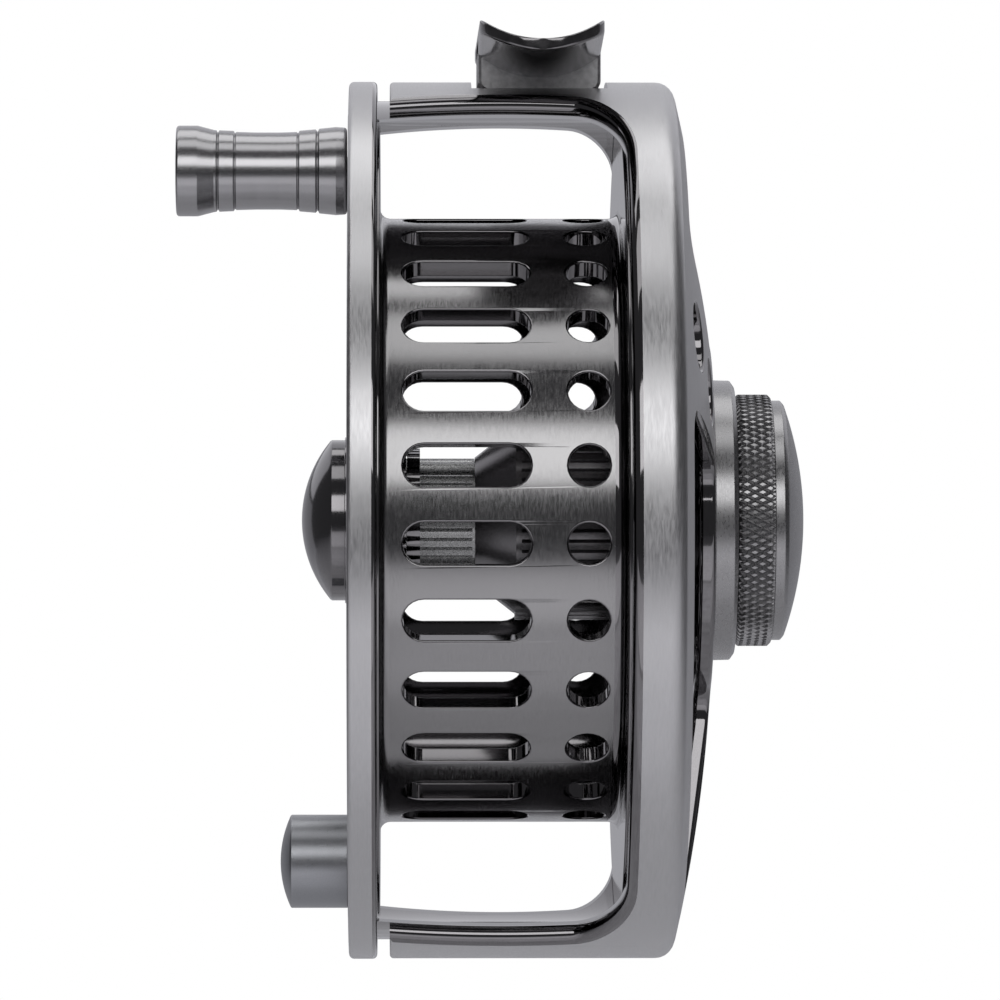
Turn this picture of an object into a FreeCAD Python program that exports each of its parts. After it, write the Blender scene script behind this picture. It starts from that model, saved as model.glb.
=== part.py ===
"""Large-arbor fly reel, modelled as the separate pieces it is assembled from.

Frame of the part, in millimetres: the origin is the middle of the foot's saddle,
where the reel meets the rod. +Z points up into the rod, +X runs along the spindle
towards the drag knob, and the handle is on the -X side.
Turned pieces are drawn as half sections about their own axis and then placed.
"""
import FreeCAD, Part
import math
import os
import re
import Sketcher

V = FreeCAD.Vector

SIZES = {
    # main sizes
    "spindle_drop": 50.3,
    "rim_radius": 47.5,
    "edge_round": 0.6,
    # spool
    "rim_left": -20.45,
    "rim_right": -17.7,
    "line_left": -17.1,
    "line_right": 8.6,
    "flange_thick": 1.2,
    "flange_radius": 43.4,
    "shoulder_radius": 42.9,
    "arbor_radius": 32.7,
    "arbor_wall": 2.0,
    "arbor_fillet": 1.1,
    "lip_recess_inner": 43.2,
    "lip_recess_outer": 45.9,
    "lip_recess_depth": 1.3,
    "web_left": -19.4,
    "web_thick": 2.0,
    "hub_radius": 8.5,
    "slot_count": 25,
    "slot_width": 4.5,
    "slot_left": -14.7,
    "slot_right": -1.25,
    "slot_phase": 4.3,
    "vent_diameter": 4.4,
    "vent_middle": 4.8,
    "spoke_count": 5,
    "web_window_inner": 12.5,
    "web_window_outer": 28.0,
    "web_window_half": 26.0,
    "boss_radius": 6.2,
    "boss_left": -20.6,
    "hub_right": -14.3,
    # frame
    "ring_left": 8.85,
    "ring_corner": 13.5,
    "ring_inner": 44.0,
    "bar_outer": 47.4,
    "bar_inner": 43.9,
    "bar_left": -16.05,
    "lip_left": -18.7,
    "lip_outer": 45.4,
    "plate_thick": 1.8,
    "plate_edge_x": 14.4,
    "plate_edge_r": 46.7,
    "plate_hub_x": 18.7,
    "plate_hub_r": 16.0,
    "dome_radius": 170.0,
    "cup_outer": 16.2,
    "cup_inner": 14.2,
    "cup_left": 11.4,
    "cup_floor": 17.0,
    "window_inner": 19.5,
    "window_outer": 42.0,
    "window_half": 46.0,
    "window_corner": 3.2,
    "arm_count": 3,
    "arm_hole": 7.0,
    "arm_hole_inner": 27.0,
    "arm_hole_outer": 38.2,
    "bar_waist": 43.25,
    "bar_waist_x": -4.0,
    "bar_waist_radius": 142.0,
    "bar_corner": 5.0,
    "foot_pocket": 46.3,
    "foot_pocket_half": 7.3,
    # foot
    "foot_width": 13.15,
    "foot_half_length": 31.0,
    "saddle_radius": 10.0,
    "saddle_depth": 1.8,
    "foot_round": 0.9,
    "pedestal_half": 10.0,
    "blade_thick": 2.9,
    "blade_tip": 1.15,
    "foot_screw_gap": 5.5,
    "foot_screw_radius": 1.25,
    "foot_screw_head": 2.4,
    "foot_screw_sunk": 1.3,
    # spindle, bearings and drag
    "spindle_radius": 3.0,
    "bearing_radius": 5.0,
    "bearing_width": 3.0,
    "sleeve_radius": 6.7,
    "sleeve_left": -19.0,
    "ridge_count": 40,
    "ridge_depth": 0.35,
    "tail_radius": 6.2,
    "clutch_radius": 8.6,
    "clutch_left": -1.6,
    "clutch_right": 4.6,
    "clutch_wall": 0.5,
    "collar_left": -14.2,
    "collar_right": -12.8,
    "cone_left": -6.85,
    "cone_right": -2.5,
    "drum_radius": 10.8,
    "drum_right": 8.2,
    "drag_cup_left": 9.8,
    "drag_cup_right": 16.3,
    "drag_cup_radius": 13.9,
    "drum_bush_left": 5.5,
    "drum_bush_right": 9.4,
    "drum_bush_radius": 4.2,
    "disc_count": 3,
    "disc_thick": 0.7,
    "disc_outer": 12.2,
    "disc_inner": 4.45,
    "stack_left": 11.6,
    "gear_radius": 17.0,
    "gear_teeth": 40,
    "gear_right": 11.0,
    "pawl_axis": 21.0,
    "pawl_thick": 1.1,
    "pin_radius": 1.0,
    "thrust_pin_circle": 7.5,
    "plate_left": 15.85,
    "plate_right": 16.9,
    "washer_left": 19.8,
    "spring_left": 20.5,
    "nut_left": 22.1,
    "nut_right": 24.3,
    "nut_radius": 8.8,
    # drag knob
    "knob_left": 21.3,
    "knob_right": 25.2,
    "knob_radius": 13.65,
    "cap_step_radius": 13.0,
    "cap_step_right": 26.3,
    "cap_apex": 28.8,
    "back_ring_right": 21.2,
    "back_ring_radius": 15.3,
    # handle, counterweight and spool cap
    "handle_offset": 37.9,
    "handle_left": -39.3,
    "handle_right": -20.7,
    "handle_bell": 4.92,
    "handle_waist": 4.18,
    "handle_base": 4.78,
    "handle_bell_right": -36.7,
    "handle_groove_a": -34.7,
    "handle_groove_b": -32.8,
    "handle_groove_c": -26.0,
    "handle_groove_d": -23.9,
    "handle_groove_half": 0.2,
    "post_radius": 1.5,
    "weight_offset": 37.0,
    "weight_radius": 5.05,
    "weight_left": -27.9,
    "spool_cap_radius": 8.7,
    "spool_cap_flange": 9.0,
    "spool_cap_apex": -25.6,
    "spigot_radius": 6.4,
    "oring_radius": 0.48,
}

DOC = FreeCAD.newDocument("FlyReel")
SHEET = DOC.addObject("Spreadsheet::Sheet", "sizes")
PIECES = []


# ------------------------------------------------------------------ helpers

def fill_sheet():
    """Write each driving size in the sheet, beside its name."""
    for row, (alias, size) in enumerate(SIZES.items(), start=1):
        SHEET.set("A%d" % row, alias)
        SHEET.set("B%d" % row, str(size))
        SHEET.setAlias("B%d" % row, alias)
    DOC.recompute()


def bound(formula):
    """The formula with each size read from the sheet."""
    def from_sheet(word):
        return "sizes." + word[0] if word[0] in SIZES else word[0]
    return re.sub(r"[a-z]\w+", from_sheet, str(formula))


def number(formula):
    """What the formula comes to with the sheet's present sizes."""
    return float(SHEET.evalExpression(bound(formula)))


def new_body(label, height="0"):
    """A body whose own X axis is the spindle axis, or a line `height` above it."""
    body = DOC.addObject("PartDesign::Body", label)
    body.Label = label
    body.Placement = FreeCAD.Placement(V(0, 0, 0), FreeCAD.Rotation())
    body.setExpression(".Placement.Base.z", bound("%s - spindle_drop" % height))
    PIECES.append(body)
    return body


def origin_part(body, role):
    """One of the body's own origin planes or axes."""
    for feature in body.Origin.OriginFeatures:
        if feature.Role == role:
            return feature
    raise ValueError(role)


def new_sketch(body, name, plane="XZ_Plane", offset="0", turn=None):
    """A sketch on one of the body's planes, moved out along that plane's normal."""
    sketch = body.newObject("Sketcher::SketchObject", "%s_%s" % (body.Name, name))
    sketch.AttachmentSupport = [(origin_part(body, plane), "")]
    sketch.MapMode = "FlatFace"
    if turn is not None:
        sketch.AttachmentOffset = FreeCAD.Placement(V(0, 0, 0), FreeCAD.Rotation(V(1, 0, 0), number(turn)))
    sketch.setExpression(".AttachmentOffset.Base.z", bound(offset))
    DOC.recompute()
    return sketch


def bulge_point(start, end, radius):
    """Middle of the arc from start to end; a positive radius bows to the left of travel."""
    chord = end - start
    left = V(-chord.y, chord.x, 0).normalize()
    rise = abs(radius) - math.sqrt(max(radius * radius - chord.Length ** 2 / 4, 0))
    return (start + end) * 0.5 + left * math.copysign(rise, radius)


def tie_point(sketch, edge, place, corner):
    """Hold one end of an edge at a corner given by two formulas."""
    for kind, axis, formula in (("DistanceX", -2, corner[0]), ("DistanceY", -1, corner[1])):
        if abs(number(formula)) < 1e-9:
            sketch.addConstraint(Sketcher.Constraint("PointOnObject", edge, place, axis))
            continue
        index = sketch.addConstraint(Sketcher.Constraint(kind, -1, 1, edge, place, number(formula)))
        sketch.setExpression("Constraints[%d]" % index, bound(formula))


def fix_arc(sketch, edge, start, end):
    """Hold an arc's radius, or the centre of an exact half circle."""
    across = number(end[0]) - number(start[0])
    up = number(end[1]) - number(start[1])
    size = abs(number(end[2]))
    if abs(math.hypot(across, up) - 2 * size) > 1e-6:
        index = sketch.addConstraint(Sketcher.Constraint("Radius", edge, size))
        sketch.setExpression("Constraints[%d]" % index, bound("abs(%s)" % end[2]))
        return
    kind, axis, place = ("DistanceX", -2, 0) if abs(up) > abs(across) else ("DistanceY", -1, 1)
    if abs(number(end[place])) < 1e-9:
        sketch.addConstraint(Sketcher.Constraint("PointOnObject", edge, 3, axis))
        return
    index = sketch.addConstraint(Sketcher.Constraint(kind, -1, 1, edge, 3, number(end[place])))
    sketch.setExpression("Constraints[%d]" % index, bound(end[place]))


def outline(sketch, corners):
    """A closed outline. A corner's third value makes the edge that arrives there an arc."""
    points = [V(number(corner[0]), number(corner[1]), 0) for corner in corners]
    first = sketch.GeometryCount
    for index, corner in enumerate(corners):
        start = points[index - 1]
        end = points[index]
        if len(corner) == 3:
            middle = bulge_point(start, end, number(corner[2]))
            edge = sketch.addGeometry(Part.Arc(start, middle, end))
            fix_arc(sketch, edge, corners[index - 1], corner)
        else:
            sketch.addGeometry(Part.LineSegment(start, end))
    ends = []
    for edge in range(first, first + len(corners)):
        start_is_first = (sketch.getPoint(edge, 1) - points[edge - first - 1]).Length < 1e-6
        ends.append((1, 2) if start_is_first else (2, 1))
    for index, corner in enumerate(corners):
        edge = first + index
        following = first + (index + 1) % len(corners)
        next_start = ends[(index + 1) % len(corners)][0]
        sketch.addConstraint(Sketcher.Constraint("Coincident", edge, ends[index][1], following, next_start))
        tie_point(sketch, edge, ends[index][1], corner)
    return sketch


def circle(sketch, across, up, radius):
    """A circle in a sketch, held by its centre and radius."""
    edge = sketch.addGeometry(Part.Circle(V(number(across), number(up), 0), V(0, 0, 1), number(radius)))
    tie_point(sketch, edge, 3, (across, up))
    index = sketch.addConstraint(Sketcher.Constraint("Radius", edge, number(radius)))
    sketch.setExpression("Constraints[%d]" % index, bound(radius))


def slot(sketch, left, right, width):
    """A round-ended slot along the sketch's first axis."""
    low = "-(%s) / 2" % width
    high = "(%s) / 2" % width
    start = "(%s) + (%s) / 2" % (left, width)
    end = "(%s) - (%s) / 2" % (right, width)
    outline(sketch, [(start, high, high), (end, high), (end, low, high), (start, low)])


def swept(body, kind, sketch, name):
    """A revolution or groove about the sketch's own first axis."""
    feature = body.newObject("PartDesign::" + kind, "%s_%s" % (body.Name, name))
    feature.Profile = sketch
    feature.ReferenceAxis = (sketch, ["H_Axis"])
    feature.Angle = 360
    DOC.recompute()
    return feature


def turned(label, corners, **place):
    """A piece turned about its own axis, from a half section."""
    body = new_body(label, **place)
    section = outline(new_sketch(body, "section"), corners)
    swept(body, "Revolution", section, "turned")
    return body


def ring(label, left, right, inner, outer, **place):
    """A plain ring or bush with square edges."""
    return turned(label, [(left, inner), (left, outer), (right, outer), (right, inner)], **place)


def pushed(body, kind, sketch, length, name, symmetric=False, backwards=False):
    """A pad or pocket; it has to change the solid."""
    before = body.Shape.Volume if body.Tip else 0
    feature = body.newObject("PartDesign::" + kind, "%s_%s" % (body.Name, name))
    feature.Profile = sketch
    feature.SideType = "Symmetric" if symmetric else "One side"
    feature.Reversed = backwards
    feature.setExpression("Length", bound(length))
    DOC.recompute()
    if abs(body.Shape.Volume - before) < 1e-3:
        raise ValueError("%s %s changed nothing" % (body.Label, name))
    return feature


def round_pattern(body, feature, count, name="pattern"):
    """Repeat a feature evenly round the body's X axis."""
    before = body.Shape.Volume
    pattern = body.newObject("PartDesign::PolarPattern", "%s_%s" % (body.Name, name))
    pattern.Originals = [feature]
    pattern.Axis = (origin_part(body, "X_Axis"), [""])
    pattern.Angle = 360
    pattern.setExpression("Occurrences", bound(count))
    body.Tip = pattern
    DOC.recompute()
    if abs(body.Shape.Volume - before) < 1e-3:
        raise ValueError("%s %s changed nothing" % (body.Label, name))
    return pattern


def row_pattern(body, feature, count, step, axis="X_Axis", name="row"):
    """Repeat a feature in a row of `count`, `step` apart."""
    pattern = body.newObject("PartDesign::LinearPattern", "%s_%s" % (body.Name, name))
    pattern.Originals = [feature]
    pattern.Direction = (origin_part(body, axis), [""])
    pattern.setExpression("Length", bound("(%s) * ((%s) - 1)" % (step, count)))
    pattern.setExpression("Occurrences", bound(count))
    body.Tip = pattern
    DOC.recompute()
    return pattern


def rounded(body, test, radius, name="round", kind="Fillet"):
    """Round or chamfer each edge of the body's tip that passes the test."""
    base = body.Tip
    names = ["Edge%d" % (i + 1) for i, edge in enumerate(base.Shape.Edges) if test(edge)]
    feature = body.newObject("PartDesign::" + kind, "%s_%s" % (body.Name, name))
    feature.Base = (base, names)
    feature.setExpression("Radius" if kind == "Fillet" else "Size", bound(radius))
    DOC.recompute()
    if not names or "Invalid" in feature.State:
        raise ValueError("%s %s failed on %d edges" % (body.Label, name, len(names)))
    return feature


def cap_radius(rise, half_width):
    """Formula for the radius of a dome that rises `rise` over a base `half_width` wide each side."""
    return "((%s)^2 + (%s)^2) / (2 * (%s))" % (half_width, rise, rise)


# ------------------------------------------------------------------ frame

def round_window(sketch, inner, outer, half, middle):
    """A window between two radii, `half` degrees each side of the `middle` angle."""
    def place(radius, angle):
        return "(%s) * cos(%s)" % (radius, angle), "(%s) * sin(%s)" % (radius, angle)
    first = "%s - (%s)" % (middle, half)
    last = "%s + (%s)" % (middle, half)
    outline(sketch, [
        place(inner, first) + ("(%s)" % inner,),
        place(outer, first),
        place(outer, last) + ("-(%s)" % outer,),
        place(inner, last),
    ])


def make_frame():
    """Frame machined in one piece: two bars, ring, domed back with windows and drag cup."""
    body = new_body("frame")
    sleeve = outline(new_sketch(body, "bars_section"), [
        ("lip_left", "bar_inner"),
        ("lip_left", "lip_outer"),
        ("bar_left", "lip_outer"),
        ("bar_left", "bar_outer - edge_round"),
        ("bar_left + edge_round", "bar_outer", "edge_round"),
        ("ring_left + 1", "bar_outer"),
        ("ring_left + 1", "bar_inner"),
    ])
    swept(body, "Revolution", sleeve, "sleeve")
    open_sides(body)
    back = outline(new_sketch(body, "back_section"), [
        ("ring_left", "ring_inner"),
        ("ring_left", "rim_radius - edge_round"),
        ("ring_left + edge_round", "rim_radius", "edge_round"),
        ("ring_corner", "rim_radius"),
        ("plate_edge_x", "plate_edge_r", "1.2"),
        ("plate_hub_x", "plate_hub_r", "dome_radius"),
        ("plate_hub_x", "spindle_radius"),
        ("cup_floor", "spindle_radius"),
        ("cup_floor", "cup_inner"),
        ("cup_left", "cup_inner"),
        ("cup_left", "cup_outer"),
        ("cup_floor - 0.4", "cup_outer + 0.6"),
        ("plate_edge_x - plate_thick", "ring_inner", "-dome_radius"),
    ])
    swept(body, "Revolution", back, "back")
    cut_back_windows(body)
    cut_foot_pocket(body)
    drill_frame(body)
    return body


def open_sides(body):
    """Mill the opening between the bars straight through along Y; the bars are left waisted."""
    left = "lip_left - 1"
    right = "ring_left - bar_corner"
    depth = "(bar_waist_radius - sqrt(bar_waist_radius^2 - (%s - bar_waist_x)^2))"
    left_height = "(bar_waist - %s)" % (depth % left)
    right_height = "(bar_waist - %s)" % (depth % right)
    corner = "(%s - bar_corner)" % right_height
    sketch = outline(new_sketch(body, "side_opening"), [
        (left, left_height),
        (right, right_height, "bar_waist_radius"),
        ("ring_left", corner, "bar_corner * 1.05"),
        ("ring_left", "-" + corner),
        (right, "-" + right_height, "bar_corner * 1.05"),
        (left, "-" + left_height, "bar_waist_radius"),
    ])
    pushed(body, "Pocket", sketch, "rim_radius * 2 + 2", "side", symmetric=True)


def cut_back_windows(body):
    """Three windows in the domed back, and the holes in the three arms between them."""
    sketch = new_sketch(body, "window", "YZ_Plane", "ring_left")
    round_window(sketch, "window_inner", "window_outer", "window_half", "90")
    pocket = pushed(body, "Pocket", sketch, "plate_hub_x - ring_left + 1", "window_cut", backwards=True)
    round_pattern(body, pocket, "arm_count", "windows")
    rounded(body, is_window_corner, "window_corner", "window_corners")
    sketch = new_sketch(body, "arm_holes", "YZ_Plane", "ring_left")
    circle(sketch, "0", "-arm_hole_inner", "arm_hole / 2")
    circle(sketch, "0", "-arm_hole_outer", "arm_hole / 2")
    pocket = pushed(body, "Pocket", sketch, "plate_hub_x - ring_left + 1", "arm_hole_cut", backwards=True)
    round_pattern(body, pocket, "arm_count", "arm_hole_pattern")


def is_window_corner(edge):
    """True for the short edges along X at the corners of the back windows."""
    if edge.Curve.TypeId != "Part::GeomLine" or edge.Length > 4:
        return False
    run = edge.tangentAt(edge.FirstParameter)
    middle = edge.CenterOfMass
    radius = math.hypot(middle.y, middle.z)
    away = min(abs(radius - SIZES["window_inner"]), abs(radius - SIZES["window_outer"]))
    return abs(run.x) > 0.999 and away < 0.1 and middle.x > SIZES["cup_left"]


def cut_foot_pocket(body):
    """Flat seat for the foot across the top bar."""
    sketch = outline(new_sketch(body, "foot_seat", "XY_Plane", "foot_pocket"), [
        ("-foot_pocket_half", "-20"),
        ("-foot_pocket_half", "20"),
        ("foot_pocket_half", "20"),
        ("foot_pocket_half", "-20"),
    ])
    pushed(body, "Pocket", sketch, "5", "foot_seat_cut", backwards=True)


def drill_frame(body):
    """Holes for the foot screws, the thrust pins and the click pawl's pin."""
    sketch = new_sketch(body, "foot_holes", "XY_Plane", "bar_inner - 2")
    for way in ("", "-"):
        circle(sketch, "0", way + "foot_screw_gap", "foot_screw_radius")
    pushed(body, "Pocket", sketch, "10", "foot_holes_cut", backwards=True)
    sketch = new_sketch(body, "foot_head_seats", "XY_Plane", "bar_inner - 2")
    for way in ("", "-"):
        circle(sketch, "0", way + "foot_screw_gap", "foot_screw_head")
    pushed(body, "Pocket", sketch, "2 + foot_screw_sunk", "foot_head_seats_cut", backwards=True)
    sketch = new_sketch(body, "pin_hole", "YZ_Plane", "cup_floor - 1")
    circle(sketch, "0", "thrust_pin_circle", "pin_radius")
    pocket = pushed(body, "Pocket", sketch, "5", "pin_hole_cut", backwards=True)
    round_pattern(body, pocket, "3", "pin_holes")
    sketch = new_sketch(body, "pawl_pin_hole", "YZ_Plane", "cup_floor - 3")
    circle(sketch, "0", "-pawl_axis", "pin_radius")
    pushed(body, "Pocket", sketch, "3", "pawl_pin_hole_cut", backwards=True)


def make_foot():
    """Reel foot: a saddle-shaped blade with thinned ends on a short pedestal."""
    body = new_body("reel_foot", height="spindle_drop")
    half = "foot_width / 2"
    base = "foot_pocket - spindle_drop"
    section = outline(new_sketch(body, "section"), [
        ("-" + half, base),
        ("-" + half, "saddle_depth - foot_round"),
        ("-%s + foot_round" % half, "saddle_depth", "foot_round"),
        ("%s - foot_round" % half, "saddle_depth", "-saddle_radius"),
        (half, "saddle_depth - foot_round", "foot_round"),
        (half, base),
    ])
    pushed(body, "Pad", section, "foot_half_length * 2", "blade", symmetric=True)
    hollow_blade_ends(body)
    round_blade_tips(body)
    screws = new_sketch(body, "screw_holes", "XY_Plane", base)
    for way in ("", "-"):
        circle(screws, "0", way + "foot_screw_gap", "foot_screw_radius")
    pushed(body, "Pocket", screws, "3", "screw_holes_cut", backwards=True)
    return body


def mirrored(body, feature, name):
    """Repeat a feature on the other side of the body's XZ plane."""
    mirror = body.newObject("PartDesign::Mirrored", "%s_%s" % (body.Name, name))
    mirror.Originals = [feature]
    mirror.MirrorPlane = (origin_part(body, "XZ_Plane"), [""])
    body.Tip = mirror
    DOC.recompute()


def hollow_blade_ends(body):
    """Cut the underside of both ends parallel to the saddle, thinner towards the tips."""
    reach = "foot_width / 2 + 1"
    edge = "saddle_radius - blade_tip - sqrt(saddle_radius^2 - (%s)^2)" % reach
    under = outline(new_sketch(body, "under", "XZ_Plane", "foot_half_length"), [
        ("-(%s)" % reach, "-6"),
        ("-(%s)" % reach, edge),
        (reach, edge, "-saddle_radius"),
        (reach, "-6"),
    ])
    pocket = pushed(body, "Pocket", under, "foot_half_length - pedestal_half", "under_cut")
    pocket.UseCustomVector = True
    pocket.AlongSketchNormal = True
    run = number("foot_half_length - pedestal_half")
    pocket.Direction = V(0, run, -number("blade_thick - blade_tip"))
    mirrored(body, pocket, "ends")


def round_blade_tips(body):
    """Round both tips in plan."""
    half = "foot_width / 2"
    shoulder = "foot_half_length - foot_width / 2"
    tip = outline(new_sketch(body, "tip", "XY_Plane", "-6"), [
        ("-%s - 1" % half, shoulder),
        ("-%s - 1" % half, "foot_half_length + 1"),
        (half + " + 1", "foot_half_length + 1"),
        (half + " + 1", shoulder),
        (half, shoulder),
        ("0", "foot_half_length", "-" + half),
        ("-" + half, shoulder, "-" + half),
    ])
    tip_cut = pushed(body, "Pocket", tip, "12", "tip_cut", backwards=True)
    mirrored(body, tip_cut, "tips")


def make_foot_screws():
    """Two cap screws, sunk in the bar, that hold the foot from inside."""
    body = new_body("foot_screws")
    sketch = new_sketch(body, "section", "XZ_Plane", "foot_screw_gap")
    outline(sketch, [
        ("0", "bar_inner + 0.1"),
        ("0", "bar_inner + 5"),
        ("foot_screw_radius", "bar_inner + 5"),
        ("foot_screw_radius", "bar_inner + foot_screw_sunk"),
        ("foot_screw_head", "bar_inner + foot_screw_sunk"),
        ("foot_screw_head", "bar_inner + 0.1"),
    ])
    feature = body.newObject("PartDesign::Revolution", "foot_screws_turned")
    feature.Profile = sketch
    feature.ReferenceAxis = (sketch, ["V_Axis"])
    DOC.recompute()
    mirrored(body, feature, "pair")


# ------------------------------------------------------------------ spool

def make_spool():
    """Spool: palming rim, two flanges, slotted arbor and a spoked face."""
    web_right = "web_left + web_thick"
    body = turned("spool", [
        ("web_left", "hub_radius"),
        ("web_left", "lip_recess_inner - 1.6"),
        ("rim_left", "lip_recess_inner - 0.2"),
        ("rim_left", "rim_radius - edge_round"),
        ("rim_left + edge_round", "rim_radius", "edge_round"),
        ("rim_right - edge_round", "rim_radius"),
        ("rim_right", "rim_radius - edge_round", "edge_round"),
        ("rim_right", "lip_recess_outer"),
        ("rim_right - lip_recess_depth", "lip_recess_outer"),
        ("rim_right - lip_recess_depth", "lip_recess_inner"),
        ("rim_right", "lip_recess_inner"),
        ("rim_right", "shoulder_radius"),
        ("line_left", "shoulder_radius"),
        ("line_left", "arbor_radius + arbor_fillet"),
        ("line_left + arbor_fillet", "arbor_radius", "-arbor_fillet"),
        ("line_right - arbor_fillet", "arbor_radius"),
        ("line_right", "arbor_radius + arbor_fillet", "-arbor_fillet"),
        ("line_right", "flange_radius"),
        ("line_right + flange_thick", "flange_radius"),
        ("line_right + flange_thick", "arbor_radius - arbor_wall"),
        (web_right, "arbor_radius - arbor_wall"),
        (web_right, "hub_radius"),
    ])
    bosses = new_sketch(body, "bosses", "YZ_Plane", "boss_left")
    circle(bosses, "0", "handle_offset", "boss_radius")
    circle(bosses, "0", "-weight_offset", "boss_radius")
    pushed(body, "Pad", bosses, "rim_right - lip_recess_depth - boss_left", "bosses_raised")
    cut_arbor_slots(body)
    window = new_sketch(body, "face_window", "YZ_Plane", "web_left - 2")
    round_window(window, "web_window_inner", "web_window_outer", "web_window_half", "54")
    pocket = pushed(body, "Pocket", window, "5", "face_window_cut", backwards=True)
    round_pattern(body, pocket, "spoke_count", "face_windows")
    screws = new_sketch(body, "screw_holes", "YZ_Plane", "rim_left - 1")
    circle(screws, "0", "handle_offset", "post_radius")
    circle(screws, "0", "-weight_offset", "post_radius")
    pushed(body, "Pocket", screws, "6", "screw_holes_cut", backwards=True)
    seat_weight_screw(body)
    return body


def cut_arbor_slots(body):
    """Long slots and round vents right round the arbor."""
    sketch = new_sketch(body, "slot", turn="slot_phase")
    slot(sketch, "slot_left", "slot_right", "slot_width")
    pocket = pushed(body, "Pocket", sketch, "arbor_radius + 2", "slot_cut", backwards=True)
    round_pattern(body, pocket, "slot_count", "slots")
    sketch = new_sketch(body, "vent", turn="slot_phase")
    circle(sketch, "vent_middle", "0", "vent_diameter / 2")
    pocket = pushed(body, "Pocket", sketch, "arbor_radius + 2", "vent_cut", backwards=True)
    round_pattern(body, pocket, "slot_count", "vents")


def seat_weight_screw(body):
    """Countersink in the line side for the screw that holds the counterweight."""
    sketch = new_sketch(body, "weight_seat")
    outline(sketch, [
        ("line_left + 0.5", "-weight_offset"),
        ("line_left - 1.3", "-weight_offset"),
        ("line_left - 1.3", "-weight_offset + post_radius"),
        ("line_left", "-weight_offset + post_radius + 1.3"),
        ("line_left + 0.5", "-weight_offset + post_radius + 1.3"),
    ])
    groove = body.newObject("PartDesign::Groove", "spool_weight_seat_cut")
    groove.Profile = sketch
    groove.ReferenceAxis = (sketch, ["Edge2"])
    DOC.recompute()


def make_spool_fittings():
    """Hub, counterweight, its screw and the handle's post."""
    turned("spool_hub", [
        ("sleeve_left - 0.3", "sleeve_radius + 0.08"),
        ("sleeve_left - 0.3", "spigot_radius - 1.2"),
        ("rim_left - 1.5", "spigot_radius - 1.2"),
        ("rim_left - 1.5", "spigot_radius"),
        ("rim_left - 0.1", "spigot_radius"),
        ("rim_left - 0.1", "hub_radius"),
        ("hub_right", "hub_radius"),
        ("hub_right", "sleeve_radius + 0.08"),
    ])
    turned("counterweight", [
        ("weight_left", "0"),
        ("weight_left + 1.1", "weight_radius - 0.15", cap_radius("1.1", "weight_radius - 0.15")),
        ("weight_left + 1.25", "weight_radius"),
        ("boss_left", "weight_radius"),
        ("boss_left", "post_radius"),
        ("weight_left + 3", "post_radius"),
        ("weight_left + 3", "0"),
    ], height="-weight_offset")
    turned("counterweight_screw", [
        ("weight_left + 3.2", "0"),
        ("weight_left + 3.2", "post_radius"),
        ("line_left - 1.3", "post_radius"),
        ("line_left - 0.1", "post_radius + 1.2"),
        ("line_left - 0.1", "0"),
    ], height="-weight_offset")
    turned("handle_post", [
        ("handle_left + 2.2", "0"),
        ("handle_left + 2.2", "post_radius"),
        ("line_left - 0.2", "post_radius"),
        ("line_left - 0.2", "0"),
    ], height="handle_offset")
    turned("handle_screw", [
        ("handle_left + 0.7", "0"),
        ("handle_left + 0.7", "2.2"),
        ("handle_left + 1.6", "2.2"),
        ("handle_left + 2.2", "post_radius"),
        ("handle_left + 2.2", "0"),
    ], height="handle_offset")


def make_handle():
    """Turned handle with its two bushes."""
    bore = "post_radius + 0.9"
    turned("handle_knob", [
        ("handle_left", "handle_bell - 0.5"),
        ("handle_left + 0.5", "handle_bell", "0.5"),
        ("handle_bell_right", "handle_bell"),
        ("handle_groove_a - handle_groove_half", "handle_waist + 0.22"),
        ("handle_groove_a", "handle_waist"),
        ("handle_groove_a + handle_groove_half", "handle_waist + 0.2"),
        ("handle_groove_b - handle_groove_half", "handle_waist + 0.2"),
        ("handle_groove_b", "handle_waist - 0.1"),
        ("handle_groove_b + handle_groove_half", "handle_waist"),
        ("handle_groove_c - handle_groove_half", "handle_waist"),
        ("handle_groove_c", "handle_waist - 0.1"),
        ("handle_groove_c + handle_groove_half", "handle_waist + 0.2"),
        ("handle_groove_d - handle_groove_half", "handle_waist + 0.35"),
        ("handle_groove_d", "handle_waist + 0.1"),
        ("handle_groove_d + handle_groove_half", "handle_waist + 0.4"),
        ("handle_right - 0.8", "handle_base"),
        ("handle_right", "handle_base - 0.5"),
        ("handle_right", bore),
        ("handle_left + 2", bore),
        ("handle_left + 2", "2.6"),
        ("handle_left", "2.6"),
    ], height="handle_offset")
    body = ring("handle_bushes", "handle_left + 3.1", "handle_left + 6.1",
                "post_radius + 0.03", bore, height="handle_offset")
    row_pattern(body, body.Tip, "2", "12")


def make_spool_cap():
    """Domed cap that locks the spool on the spindle, with its collar and O-ring."""
    wall = "spool_cap_radius - 1.3"
    turned("spool_cap", [
        ("spool_cap_apex", "0"),
        ("rim_left - 1.7", "spool_cap_radius - 0.1",
         cap_radius("rim_left - 1.7 - spool_cap_apex", "spool_cap_radius - 0.1")),
        ("rim_left - 1.5", "spool_cap_radius"),
        ("rim_left - 0.4", "spool_cap_radius"),
        ("rim_left - 0.4", "spool_cap_flange"),
        ("rim_left - 0.15", "spool_cap_flange"),
        ("rim_left - 0.15", wall),
        ("rim_left - 1.3", wall),
        ("rim_left - 2.4", wall + " - 1.9"),
        ("spool_cap_apex + 1.2", "0"),
    ])
    ring("cap_collar", "rim_left - 2.3", "rim_left - 1.6", "spindle_radius + 0.08", "spigot_radius - 1")
    body = new_body("cap_oring")
    section = new_sketch(body, "section")
    circle(section, "rim_left - 0.9", "(spigot_radius + %s) / 2" % wall, "oring_radius")
    swept(body, "Revolution", section, "turned")


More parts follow.
